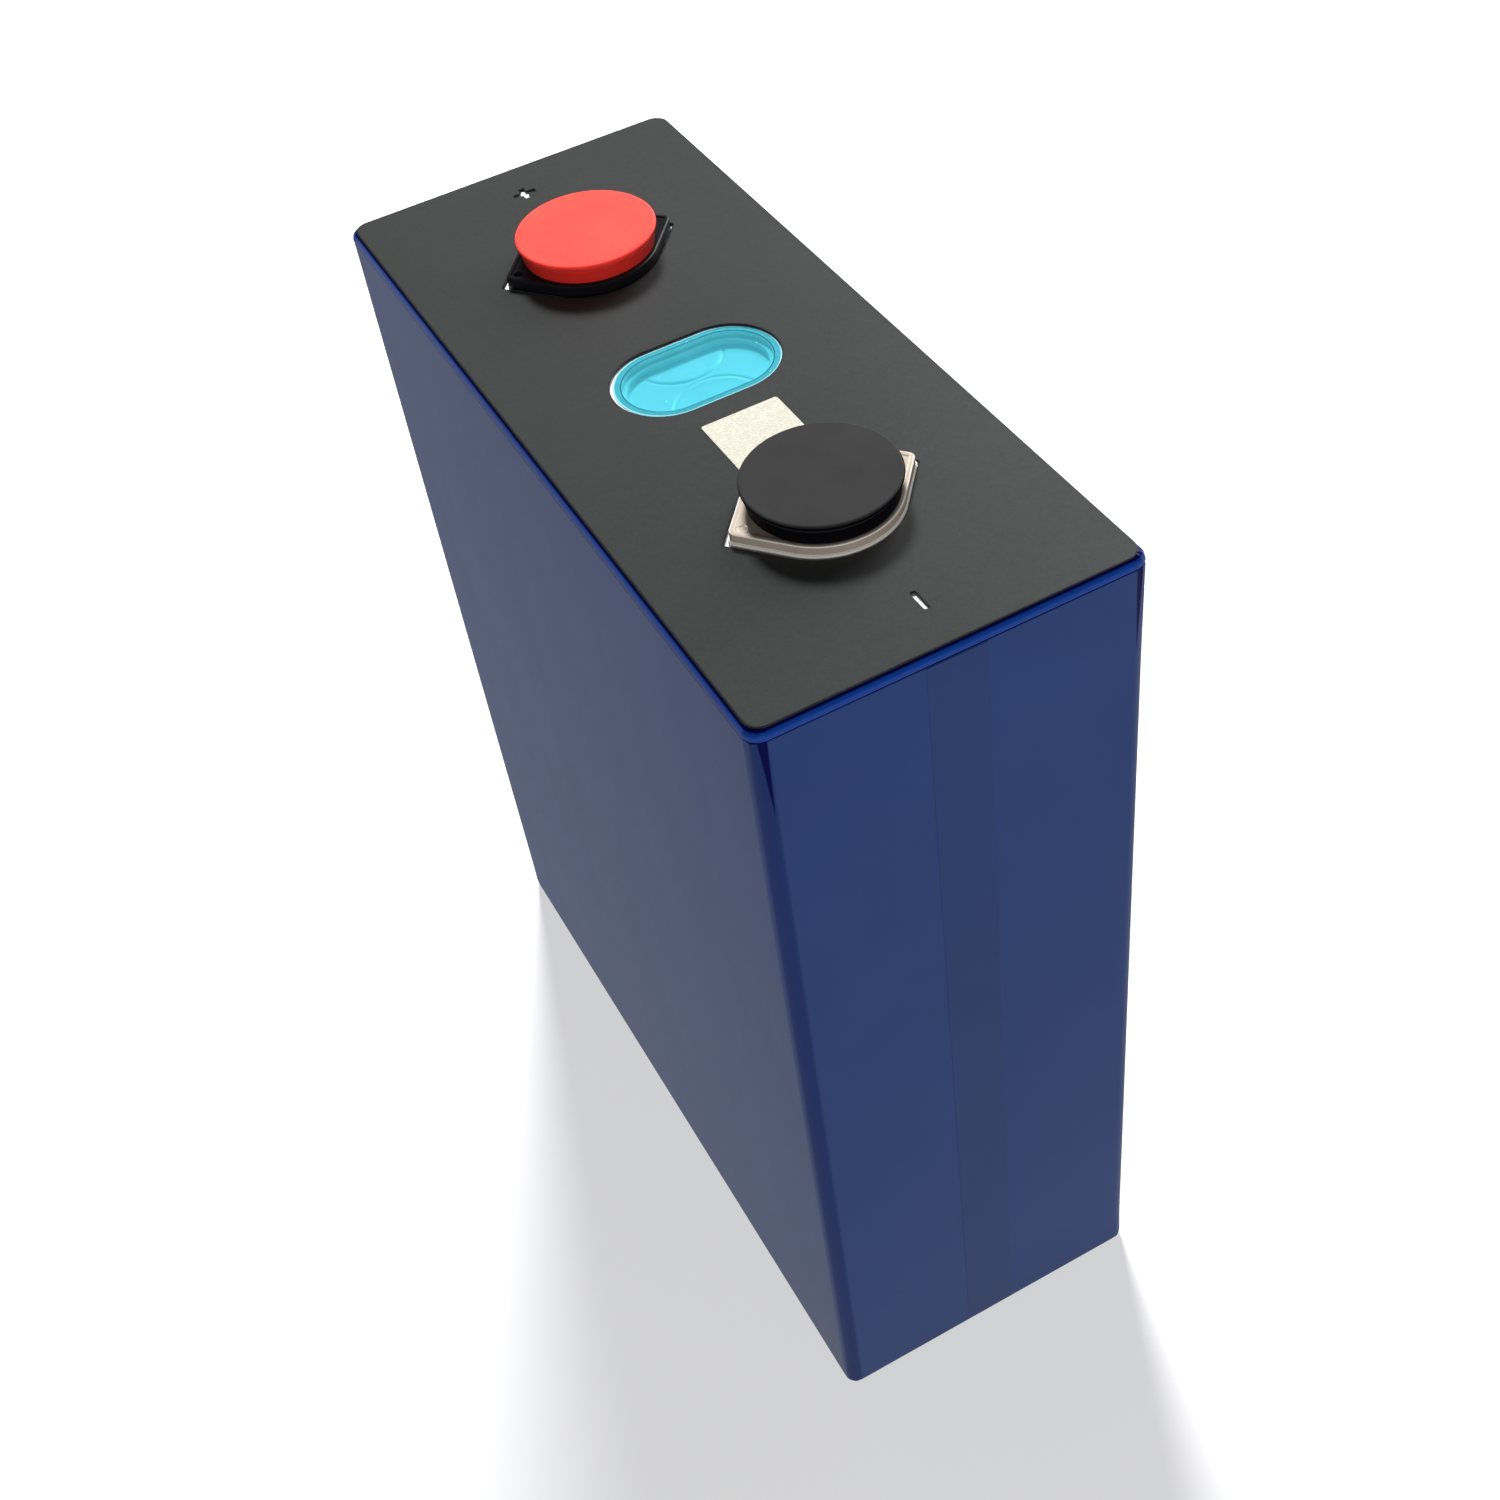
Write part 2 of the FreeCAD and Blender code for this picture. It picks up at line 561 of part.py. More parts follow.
def all_nodes():
    nodes = {
        "film_wrap": make_film_wrap(),
        "can": make_can(),
        "lid_plate": make_lid_plate(),
        "top_sheet": make_top_sheet(),
        "bottom_sheet": make_bottom_sheet(),
        "code_label": make_code_label(),
        "vent_film": make_vent_film(),
        "vent_disc": make_vent_disc(),
        "vent_guard": make_vent_guard(),
        "fill_plug": make_fill_plug(),
        "fill_cap": make_fill_cap(),
        "jelly_roll_front": make_jelly_roll(-1),
        "jelly_roll_rear": make_jelly_roll(1),
        "binding_tape": make_binding_tape(),
        "roll_bag": make_roll_bag(),
        "bottom_tray": make_bottom_tray(),
        "red_cap": make_cap(POSITIVE),
        "black_cap": make_cap(NEGATIVE),
    }
    for name, side in (("positive", POSITIVE), ("negative", NEGATIVE)):
        nodes[name + "_base"] = make_base(side)
        nodes[name + "_pad"] = make_pad(side)
        nodes[name + "_pole"] = make_pole(side)
        nodes[name + "_seal"] = make_seal(side)
        nodes[name + "_lower_insulator"] = make_lower_insulator(side)
        nodes[name + "_connector"] = make_connector(side)
        nodes[name + "_tabs"] = make_tabs(side)
    return nodes


os.makedirs("parts", exist_ok=True)
for node, shape in all_nodes().items():
    shape.exportStep(os.path.join("parts", node + ".step"))
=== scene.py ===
import math

import bmesh
import bpy
import numpy as np
from mathutils import Matrix, Vector, noise
from mathutils.geometry import tessellate_polygon


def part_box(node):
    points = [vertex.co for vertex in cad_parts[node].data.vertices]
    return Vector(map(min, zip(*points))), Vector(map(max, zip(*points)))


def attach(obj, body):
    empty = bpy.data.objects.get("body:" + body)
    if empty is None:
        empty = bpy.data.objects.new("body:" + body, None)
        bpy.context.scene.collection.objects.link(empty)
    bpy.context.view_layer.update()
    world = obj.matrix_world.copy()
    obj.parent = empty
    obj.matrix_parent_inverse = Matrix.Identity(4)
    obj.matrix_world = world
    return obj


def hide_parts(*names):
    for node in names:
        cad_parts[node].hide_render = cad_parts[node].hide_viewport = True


# Looks of a prismatic cell: blue film sleeve, black top sheet, vent under cyan film, two moulded
# terminal bases and push-on caps. Lengths below are in millimetres until a mesh is made. +X runs
# along the cell's length, -Y towards the front large face and +Z up.

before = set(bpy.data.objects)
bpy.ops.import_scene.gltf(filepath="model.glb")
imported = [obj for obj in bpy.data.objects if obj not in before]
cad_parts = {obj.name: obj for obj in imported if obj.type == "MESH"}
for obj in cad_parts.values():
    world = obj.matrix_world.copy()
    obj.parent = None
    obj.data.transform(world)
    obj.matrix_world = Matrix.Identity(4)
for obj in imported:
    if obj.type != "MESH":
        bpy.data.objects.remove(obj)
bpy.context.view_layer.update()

MM = 0.001


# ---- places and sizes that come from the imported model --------
def box_mm(node):
    """Lowest and highest corner of a CAD node."""
    lo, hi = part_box(node)
    return lo / MM, hi / MM


FILM_LO, FILM_HI = box_mm("film_wrap")
SHEET_HI = box_mm("top_sheet")[1]
BOTTOM_LO, BOTTOM_HI = box_mm("bottom_sheet")
LABEL_LO, LABEL_HI = box_mm("code_label")
VENT_HI = box_mm("vent_film")[1]
DISC_LO, DISC_HI = box_mm("vent_disc")
BASE_LO, BASE_HI = box_mm("positive_base")
CAP_LO, CAP_HI = box_mm("red_cap")
PAD_LO, PAD_HI = box_mm("positive_pad")
POLE_LO, POLE_HI = box_mm("positive_pole")

HALF_LENGTH = -FILM_LO.x
HALF_THICKNESS = FILM_HI.y
FILM_TOP = FILM_HI.z
FILM_BOTTOM = FILM_LO.z
SHEET_TOP = SHEET_HI.z
POLE_X = (PAD_LO.x + PAD_HI.x) / 2

# ---- sizes of what is shaped here --------
FILM_T = 0.16
FILM_CORNER_R = 3.0
FILM_TOP_R = 1.6
FILM_BOTTOM_R = 1.5
FOLD_TOP = 5.0
FOLD_BOTTOM = 14.0
SEAM_HALF = 5.5
SEAM_STEP = 0.15
CREASE_LENGTH = 19
WELD_Z = FILM_TOP - 1.9  # the can's weld line, which shows through the film
# The rim band's brighter, deeper blue is painted light on the film's rounded top edge.
BODY_BAND, LAP_BAND, LIT_RIM_BAND = 0, 1, 2  # parts of the sleeve with their own tone

SHEET_CORNER_R = 3.0
BLACK_BASE_GAP = 0.45  # between the black base and its cut-out
BEIGE_BASE_GAP = 0.55
CUTOUT_SHIFT = -0.3  # the cut-outs sit a little towards the sheet's front edge
VENT_CUTOUT = (10.5, 16.2)
MARK_OFFSET = 10.6  # from the sheet's end to the centre of a polarity mark
PLUS_Y = -1.2  # the polarity marks are cut a little off the sheet's middle line
PLUS_HALF = (2.0, 2.3)
PLUS_HALF_WIDTH = 0.57
MINUS_Y = 0.4
MINUS_HALF = (2.3, 0.5)
SCORE_R = 8.4
SCORE_OFFSET = 8.8  # from the vent's centre to each score arc's centre
SCORE_REACH = 11.5  # the arcs end this far from the vent's centre, across the cell
SCORE_DEPTH = 0.2
VENT_BODY, VENT_BORDER, VENT_FOLD, VENT_EDGE = 0, 1, 2, 3  # parts of the cover film
VENT_FILM_T = 0.11
VENT_MARGIN = (0.3, 0.35)  # how much larger the cover film is than its CAD solid

BASE_R = 13.7
BASE_APEX = 17.8
BASE_CORNER_R = 1.5
LIP_HEIGHT = 0.22
LIP_WIDTH = 0.8
POCKET_R = 11.3
PIT_R = 0.9
PIT_Y = -15.0
FLANGE_TOP = SHEET_TOP + 0.3
PAD_R = 10.0
POLE_R = 6.0
POLE_FLANGE_R = 11.0
BEAD_IN_R = 5.5
BEAD_OUT_R = 6.85
TAP_R = 2.5
TAP_DEPTH = 6.0
THREAD_PITCH = 1.0
CAP_R = 13.72
CAP_GROOVE_R = 12.7
CAP_BODY_R = 13.15
CAP_BORE_R = 10.06
CAP_ROOF_T = 2.05
CAP_DISC_T = 0.95
CAP_RING_REACH = 1.4  # how far the grip ring reaches below the cap's body


# ---- paths and outlines --------
def smooth_step(value, low, high):
    t = np.clip((value - low) / (high - low), 0, 1)
    return t * t * (3 - 2 * t)


def arc(cx, cy, radius, start, end, steps):
    """Points along an arc; angles in degrees."""
    angles = np.radians(np.linspace(start, end, steps + 1))
    return [(cx + radius * math.cos(a), cy + radius * math.sin(a)) for a in angles]


def rounded_path(corners, closed=True, steps=6, support=0.0):
    """Path through (x, y, radius) corners, each rounded by an arc. With support, an extra point
    follows each arc on either side, which keeps the flats between arcs flat in smooth shading."""
    points = []
    count = len(corners)
    for i, (x, y, radius) in enumerate(corners):
        here = Vector((x, y))
        at_end = not closed and i in (0, count - 1)
        if radius <= 0 or at_end:
            points.append((x, y))
            continue
        before = (Vector(corners[i - 1][:2]) - here).normalized()
        after = (Vector(corners[(i + 1) % count][:2]) - here).normalized()
        half = before.angle(after) / 2
        reach = radius / math.tan(half)
        centre = here + (before + after).normalized() * (radius / math.sin(half))
        first = here + before * reach - centre
        last = here + after * reach - centre
        if support:
            points.append(tuple(here + before * (reach + support)))
        turn = first.angle_signed(last)
        for k in range(steps + 1):
            spoke = Matrix.Rotation(-turn * k / steps, 2) @ first
            points.append(tuple(centre + spoke))
        if support:
            points.append(tuple(here + after * (reach + support)))
    return points


def rectangle_loop(half_x, half_y, radius, cx=0.0, cy=0.0):
    """Rectangle with rounded corners."""
    signs = ((-1, -1), (1, -1), (1, 1), (-1, 1))
    return rounded_path([(cx + sx * half_x, cy + sy * half_y, radius) for sx, sy in signs])


def circle_loop(radius, cx=0.0, cy=0.0, steps=96):
    return arc(cx, cy, radius, 0, 360, steps)[:-1]


def stadium_loop(half_x, half_y, steps=24):
    """Stadium with its long axis along Y."""
    straight = half_y - half_x
    upper = arc(0, straight, half_x, 0, 180, steps)
    lower = arc(0, -straight, half_x, 180, 360, steps)
    return upper + lower


def terminal_loop(cx, grow=0.0, corner_r=BASE_CORNER_R):
    """Round outline with a corner on each side across the cell, grown outwards by a margin."""
    radius = BASE_R + grow
    apex = BASE_APEX * radius / BASE_R
    touch = 90 - math.degrees(math.acos(radius / apex))
    corners = [(x, y, 0) for x, y in arc(0, 0, radius, -touch, touch, 32)]
    corners.append((0, apex, corner_r))
    corners += [(x, y, 0) for x, y in arc(0, 0, radius, 180 - touch, 180 + touch, 32)]
    corners.append((0, -apex, corner_r))
    return [(cx + x, y) for x, y in rounded_path(corners)]


def plus_loop(cx, cy, half_x, half_y, half_width):
    """Plus sign with softly rounded corners."""
    b = half_width
    arm = ((b, -half_y), (b, -b), (half_x, -b), (half_x, b), (b, b), (b, half_y))
    corners = list(arm) + [(-x, -y) for x, y in arm]
    return rounded_path([(cx + x, cy + y, 0.18) for x, y in corners], steps=3)


# ---- mesh makers --------
def finish_mesh(name, vertices, faces, materials=None):
    """Closed mesh in metres with welded points and outward normals."""
    mesh = bpy.data.meshes.new(name)
    mesh.from_pydata([tuple(c * MM for c in v) for v in vertices], [], faces)
    if materials is not None:
        mesh.polygons.foreach_set("material_index", materials)
    work = bmesh.new()
    work.from_mesh(mesh)
    bmesh.ops.remove_doubles(work, verts=work.verts, dist=2e-7)
    bmesh.ops.recalc_face_normals(work, faces=work.faces)
    work.to_mesh(mesh)
    work.free()
    return mesh


def place(name, mesh, materials, body, slot, *nodes, sharp=32.0):
    """Object of a mesh, on its body, standing for its CAD nodes."""
    obj = bpy.data.objects.new(name, mesh)
    bpy.context.scene.collection.objects.link(obj)
    for item in materials:
        mesh.materials.append(item)
    mesh.shade_smooth()
    mesh.set_sharp_from_angle(angle=math.radians(sharp))
    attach(obj, body)
    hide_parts(*nodes)


def grid_faces(rows, columns, close_rows=False):
    """Quads of a grid whose columns run round a closed ring."""
    faces = []
    for i in range(rows if close_rows else rows - 1):
        row = i * columns
        below = (i + 1) % rows * columns
        for j in range(columns):
            right = (j + 1) % columns
            faces.append((row + j, row + right, below + right, below + j))
    return faces


def revolve(profile, cx, steps=160):
    """Grid of a profile of (radius, z) points turned about an upright axis."""
    profile = np.array(profile)
    angles = np.linspace(0, 2 * math.pi, steps, endpoint=False)
    radius = profile[:, 0][:, None]
    height = np.repeat(profile[:, 1][:, None], steps, axis=1)
    return np.stack([cx + radius * np.cos(angles), radius * np.sin(angles), height], axis=2)


def grid_mesh(name, grid, close_rows=False, materials=None):
    rows, columns = grid.shape[:2]
    return finish_mesh(name, grid.reshape(-1, 3), grid_faces(rows, columns, close_rows), materials)


def offset_loop(loop, inset, hole):
    """Loop moved into the material by an inset. Loops run anticlockwise, and a hole's material is
    outside it."""
    points = np.array(loop)
    along = np.roll(points, -1, axis=0) - np.roll(points, 1, axis=0)
    along /= np.linalg.norm(along, axis=1)[:, None]
    outward = np.stack([along[:, 1], -along[:, 0]], axis=1)
    return points + outward * (inset if hole else -inset)


def plate(name, loops):
    """Closed solid between a top and a bottom face. Each loop is (outline, edge, hole, blind): its
    edge goes from the top face down, as (inset, z) points. A blind hole is closed at its last row.
    Faces of the edge get material 1, the flats material 0."""
    vertices = []
    faces = []
    materials = []

    def add_flat(rims, z):
        """Fills the area inside the first rim and outside the others."""
        start = len(vertices)
        for rim in rims:
            vertices.extend((x, y, z) for x, y in rim)
        triangles = tessellate_polygon([[Vector((x, y, 0)) for x, y in rim] for rim in rims])
        faces.extend(tuple(start + k for k in triangle) for triangle in triangles)
        materials.extend([0] * len(triangles))

    top = []
    bottom = []
    for outline, edge, hole, blind in loops:
        rows = [offset_loop(outline, inset, hole) for inset, z in edge]
        start = len(vertices)
        for row, (inset, z) in zip(rows, edge):
            vertices.extend((x, y, z) for x, y in row)
        ring = grid_faces(len(rows), len(outline))
        faces.extend(tuple(start + k for k in face) for face in ring)
        materials.extend([1] * len(ring))
        top.append(rows[0])
        if blind:
            add_flat([rows[-1]], edge[-1][1])
        else:
            bottom.append(rows[-1])
    add_flat(top, loops[0][1][0][1])
    add_flat(bottom, loops[0][1][-1][1])
    return finish_mesh(name, vertices, faces, materials)


def soft_edge(top, bottom, radius, support=0.2):
    """Edge profile of a plate with both rims rounded."""
    inner = radius + support
    corners = [(inner, top, 0), (0, top, radius), (0, bottom, radius), (inner, bottom, 0)]
    return rounded_path(corners, closed=False, steps=3)


# ---- materials --------
class Shader:
    """Small helper that wires the nodes of one material, or of the world."""

    def __init__(self, name, world=False):
        owners = bpy.data.worlds if world else bpy.data.materials
        self.block = owners.new(name)
        self.block.use_nodes = True
        self.tree = self.block.node_tree
        self.tree.nodes.clear()
        self.output = self.node("ShaderNodeOutputWorld" if world else "ShaderNodeOutputMaterial")
        self.place = self.node("ShaderNodeTexCoord").outputs["Generated" if world else "Object"]

    def feed(self, socket, value):
        """Links an output to a socket, or gives it a plain value; a colour leaves out its alpha."""
        if isinstance(value, bpy.types.NodeSocket):
            self.tree.links.new(value, socket)
        elif socket.type == "RGBA":
            socket.default_value = (*value, 1.0)
        else:
            socket.default_value = value

    def node(self, kind, **settings):
        """Node with some of its attributes and inputs set."""
        made = self.tree.nodes.new(kind)
        for key, value in settings.items():
            if hasattr(made, key) and key not in made.inputs:
                setattr(made, key, value)
                continue
            label = key.replace("_", " ")
            self.feed(made.inputs[label if label in made.inputs else key], value)
        return made

    def mix(self, share, first, second):
        """Mix of two shaders."""
        made = self.node("ShaderNodeMixShader")
        for socket, value in zip(made.inputs, (share, first.outputs[0], second.outputs[0])):
            self.feed(socket, value)
        return made

    def show(self, shader):
        """Wires a shader to the output."""
        self.feed(self.output.inputs["Surface"], shader.outputs[0])
        return self.block

    def stretched(self, x, y, z):
        """Object coordinates scaled per axis."""
        return self.node("ShaderNodeMapping", Vector=self.place, Scale=(x, y, z)).outputs[0]

    def noise(self, scale, detail=3.0, roughness=0.5, vector=None):
        made = self.node("ShaderNodeTexNoise", Scale=scale, Detail=detail, Roughness=roughness)
        self.feed(made.inputs["Vector"], vector or self.place)
        return made.outputs["Fac"]

    def ramp(self, fac, low, high, low_value=0.0, high_value=1.0):
        """Linear map of a value from one span to another, clamped."""
        made = self.node("ShaderNodeMapRange", Value=fac)
        made.inputs["From Min"].default_value = low
        made.inputs["From Max"].default_value = high
        made.inputs["To Min"].default_value = low_value
        made.inputs["To Max"].default_value = high_value
        return made.outputs["Result"]

    def blend(self, fac, first, second):
        """Mix of two colours; each may be a colour or a socket."""
        made = self.node("ShaderNodeMix", data_type="RGBA")
        sockets = (made.inputs["Factor"], made.inputs[6], made.inputs[7])
        for socket, value in zip(sockets, (fac, first, second)):
            self.feed(socket, value)
        return made.outputs[2]

    def math(self, operation, first, second=0.0, third=0.0):
        made = self.node("ShaderNodeMath", operation=operation)
        for socket, value in zip(made.inputs, (first, second, third)):
            self.feed(socket, value)
        return made.outputs[0]

    def length(self, x, y):
        """Distance from the origin of a point in a plane."""
        squares = self.math("ADD", self.math("MULTIPLY", x, x), self.math("MULTIPLY", y, y))
        return self.math("SQRT", squares)

    def bump(self, height, depth):
        """Bump whose height of one stands for a depth in millimetres."""
        made = self.node("ShaderNodeBump", Height=height, Strength=1.0, Distance=depth * MM)
        return made.outputs["Normal"]

    def surface(self, **settings):
        """Principled surface wired to the output."""
        return self.show(self.node("ShaderNodeBsdfPrincipled", **settings))


def shaded_lines(s):
    """One where the film lies in deep shade: under the sheet's edge, in the weld line, and in the
    crease that tapers down each corner beside the end face. The two front corners are in half
    shade. The turn is the angle round a corner, from 0 on the end face to 90 on the large face."""
    split = s.node("ShaderNodeSeparateXYZ", Vector=s.place)
    x, y, z = [s.math("MULTIPLY", output, 1 / MM) for output in split.outputs]
    under_sheet = s.ramp(z, FILM_TOP - 0.4, FILM_TOP - 0.22)
    weld = s.ramp(s.math("ABSOLUTE", s.math("SUBTRACT", z, WELD_Z)), 0.1, 0.2, 1, 0)
    to_x = s.math("SUBTRACT", s.math("ABSOLUTE", x), HALF_LENGTH - FILM_CORNER_R)
    to_y = s.math("SUBTRACT", s.math("ABSOLUTE", y), HALF_THICKNESS - FILM_CORNER_R)
    turn = s.math("MULTIPLY", s.math("ARCTAN2", to_y, to_x), 180 / math.pi)
    share = s.ramp(z, WELD_Z - CREASE_LENGTH, WELD_Z)
    centre = s.math("MULTIPLY_ADD", share, 9.0, 9.0)
    off_centre = s.math("ABSOLUTE", s.math("SUBTRACT", turn, centre))
    crease = s.ramp(s.math("SUBTRACT", s.math("MULTIPLY", share, 17.0), off_centre), 0, 3)
    off_corner = s.math("ABSOLUTE", s.math("SUBTRACT", turn, 33.0))
    at_front = s.math("LESS_THAN", y, 0.0)
    corner = s.math("MULTIPLY", s.ramp(off_corner, 24, 36, 0.43, 0), at_front)
    below_rim = s.ramp(z, WELD_Z - 0.1, WELD_Z, 1, 0)
    crease = s.math("MULTIPLY", s.math("MAXIMUM", crease, corner), below_rim)
    return s.math("MAXIMUM", s.math("MAXIMUM", under_sheet, weld), crease)


def film_material(name, deep, light):
    """Glossy blue film drawn tight over bare metal, slightly uneven in colour and gloss."""
    s = Shader(name)
    shade = shaded_lines(s)
    blotches = s.noise(14, 3, 0.55)
    smudges = s.noise(60, 4, 0.6, s.stretched(1, 1, 0.35))
    colour = s.blend(s.ramp(blotches, 0.35, 0.68), deep, light)
    # Painted shade: the film goes dark navy, with less gloss, where shaded_lines marks deep shade.
    colour = s.blend(shade, colour, (0.0005, 0.001, 0.055))
    bare = s.math("SUBTRACT", 1.0, s.math("MULTIPLY", shade, 0.8))
    rough = s.ramp(smudges, 0.3, 0.75, 0.37, 0.41)
    ripple = s.bump(s.noise(90, 2, 0.5), 0.004)
    return s.surface(
        Base_Color=colour,
        Metallic=0.1,
        Roughness=rough,
        Specular_IOR_Level=s.math("MULTIPLY", bare, 0.2),
        Coat_Weight=s.math("MULTIPLY", bare, 0.4),
        Coat_Roughness=s.ramp(smudges, 0.3, 0.75, 0.07, 0.09),
        Coat_IOR=1.4,
        Normal=ripple,
        Coat_Normal=ripple,
    )


def sheet_material():
    """Black insulating sheet with a fine matte grain."""
    s = Shader("black_sheet_grain")
    grain = s.noise(2600, 2, 0.6)
    cloud = s.noise(22, 3, 0.55)
    fleck = s.noise(900, 1, 0.5)
    colour = s.blend(s.ramp(grain, 0.3, 0.72), (0.0205, 0.0215, 0.0212), (0.0275, 0.0285, 0.028))
    colour = s.blend(s.ramp(cloud, 0.3, 0.75, 0.0, 0.35), colour, (0.033, 0.034, 0.0335))
    rough = s.ramp(fleck, 0.3, 0.7, 0.56, 0.62)
    return s.surface(
        Base_Color=colour, Roughness=rough, Specular_IOR_Level=0.32, Normal=s.bump(grain, 0.008)
    )


def cut_edge_material(name, colour_low, colour_high):
    """Cut edge of a sheet."""
    s = Shader(name)
    streak = s.noise(900, 2, 0.6, s.stretched(1, 1, 6))
    colour = s.blend(s.ramp(streak, 0.3, 0.7), colour_low, colour_high)
    return s.surface(Base_Color=colour, Roughness=0.6, Normal=s.bump(streak, 0.02))


def metal_material(
    name, colour_low, colour_high, rough_low, rough_high,
    stretch=(0.12, 1, 1), depth=0.008, metallic=1.0,
):
    """Rolled metal with fine lines along one axis."""
    s = Shader(name)
    lines = s.noise(1400, 3, 0.6, s.stretched(*stretch))
    stain = s.noise(70, 3, 0.5)
    colour = s.blend(s.ramp(stain, 0.3, 0.7), colour_low, colour_high)
    rough = s.ramp(lines, 0.25, 0.75, rough_low, rough_high)
    return s.surface(
        Base_Color=colour, Metallic=metallic, Roughness=rough, Normal=s.bump(lines, depth)
    )


def turned_metal_material(name, colour, cx):
    """Lathe-turned face: fine rings round the terminal's axis."""
    s = Shader(name)
    centred = s.node("ShaderNodeMapping", Vector=s.place, Location=(-cx * MM, 0, 0)).outputs[0]
    split = s.node("ShaderNodeSeparateXYZ", Vector=centred)
    x, y = split.outputs[0], split.outputs[1]
    rings = s.math("SINE", s.math("MULTIPLY", s.length(x, y), 2 * math.pi / (0.22 * MM)))
    scratch = s.noise(1500, 3, 0.6)
    height = s.math("ADD", s.math("MULTIPLY", rings, 0.5), scratch)
    bright = tuple(min(1.0, c * 1.12) for c in colour)
    return s.surface(
        Base_Color=s.blend(s.ramp(scratch, 0.3, 0.7), colour, bright),
        Metallic=0.45,
        Roughness=s.ramp(scratch, 0.3, 0.7, 0.44, 0.5),
        Normal=s.bump(height, 0.004),
    )


def moulded_material(
    name, low, high, rough, grain_scale, depth, specular, scatter=0.0, scatter_colour=None,
    side=None, disc_edge_share=1.0, rim=None,
):
    """Injection-moulded plastic: fine spark-eroded grain and a slight cloud in the colour. A cap's
    side may carry painted shade, a deeper colour than its top, of which the disc's edge takes a
    share, and a rounded rim a painted highlight, paler than the rest."""
    s = Shader(name)
    grain = s.noise(grain_scale, 2, 0.55)
    cloud = s.noise(110, 3, 0.5)
    colour = s.blend(s.ramp(cloud, 0.32, 0.7), low, high)
    normal = s.node("ShaderNodeNewGeometry").outputs["Normal"]
    up = s.node("ShaderNodeSeparateXYZ", Vector=normal).outputs[2]
    # Painted shade: the side goes deeper as the surface turns from facing up, the disc's edge
    # taking only a share.
    if side:
        height = s.node("ShaderNodeSeparateXYZ", Vector=s.place).outputs[2]
        disc_z = (CAP_HI.z - CAP_DISC_T) * MM
        below_disc = s.ramp(height, disc_z - 0.05 * MM, disc_z + 0.05 * MM, 1, disc_edge_share)
        colour = s.blend(s.math("MULTIPLY", s.ramp(up, 0.25, 0.7, 1, 0), below_disc), colour, side)
    # Painted highlight: a paler band where a rounded edge faces partly up.
    if rim:
        off_rim = s.math("ABSOLUTE", s.math("SUBTRACT", up, 0.66))
        colour = s.blend(s.ramp(off_rim, 0.12, 0.33, 0.9, 0), colour, rim)
    settings = dict(
        Base_Color=colour,
        Roughness=s.ramp(grain, 0.3, 0.7, rough - 0.05, rough + 0.06),
        Specular_IOR_Level=specular,
        Normal=s.bump(grain, depth),
    )
    if scatter:
        settings.update(
            Subsurface_Weight=scatter, Subsurface_Radius=scatter_colour, Subsurface_Scale=1.4 * MM
        )
    return s.surface(**settings)


def cyan_film_material(name, haze_colour, haze_share):
    """Clear cyan film: tints what is seen through it and reflects like a glossy sheet."""
    s = Shader(name)
    smear = s.noise(260, 3, 0.55)
    tint = s.blend(s.ramp(smear, 0.3, 0.75), (0.60, 0.905, 0.95), (0.64, 0.92, 0.96))
    ripple = s.bump(s.noise(170, 2, 0.5), 0.01)
    clear = s.node("ShaderNodeBsdfTransparent", Color=tint)
    gloss = s.node("ShaderNodeBsdfGlossy", Color=(0.92, 0.98, 1.0), Roughness=0.04, Normal=ripple)
    haze = s.node("ShaderNodeBsdfDiffuse", Color=haze_colour)
    fresnel = s.node("ShaderNodeFresnel", IOR=1.4, Normal=ripple)
    behind = s.node("ShaderNodeNewGeometry").outputs["Backfacing"]
    shine = s.math("MULTIPLY", fresnel.outputs[0], s.math("SUBTRACT", 1.0, behind))
    return s.show(s.mix(shine, s.mix(haze_share, clear, haze), gloss))


def label_material():
    """Matt paper with faint rows of grey marks that stand for print."""
    s = Shader("label_paper_fibre")
    fibre = s.noise(1800, 4, 0.65)
    rows = s.node("ShaderNodeSeparateXYZ", Vector=s.place)
    line = s.math("SINE", s.math("MULTIPLY", rows.outputs[0], 2 * math.pi / (0.62 * MM)))
    dashes = s.noise(2300, 1, 0.5, s.stretched(0.5, 1, 1))
    ink = s.math("MULTIPLY", s.ramp(line, -0.1, 0.3), s.ramp(dashes, 0.42, 0.54))
    paper = s.blend(s.ramp(fibre, 0.3, 0.7), (0.47, 0.445, 0.375), (0.51, 0.48, 0.41))
    colour = s.blend(s.math("MULTIPLY", ink, 0.4), paper, (0.12, 0.11, 0.09))
    return s.surface(Base_Color=colour, Roughness=0.62, Normal=s.bump(fibre, 0.012))


def winding_material():
    """Edge of a wound stack: fine layers across the winding, under a separator."""
    s = Shader("winding_layers")
    split = s.node("ShaderNodeSeparateXYZ", Vector=s.place)
    layers = s.math("SINE", s.math("MULTIPLY", split.outputs[1], 2 * math.pi / (0.35 * MM)))
    cloud = s.noise(60, 3, 0.5)
    colour = s.blend(s.ramp(layers, -1, 1), (0.05, 0.05, 0.055), (0.62, 0.62, 0.6))
    colour = s.blend(s.ramp(cloud, 0.3, 0.7, 0.2, 0.5), colour, (0.7, 0.7, 0.69))
    return s.surface(Base_Color=colour, Roughness=0.5, Normal=s.bump(layers, 0.02))


def tape_material():
    s = Shader("green_tape_film")
    crepe = s.noise(500, 3, 0.6, s.stretched(1, 1, 0.2))
    colour = s.blend(s.ramp(crepe, 0.3, 0.7), (0.03, 0.30, 0.12), (0.05, 0.40, 0.18))
    return s.surface(Base_Color=colour, Roughness=0.35, Normal=s.bump(crepe, 0.03))


def bag_material():
    s = Shader("clear_bag_film")
    crease = s.noise(45, 4, 0.6)
    colour = s.blend(s.ramp(crease, 0.3, 0.7), (0.75, 0.78, 0.8), (0.86, 0.88, 0.9))
    normal = s.bump(crease, 0.2)
    return s.surface(
        Base_Color=colour, Roughness=0.22, Transmission_Weight=0.7, Alpha=0.55, Normal=normal
    )


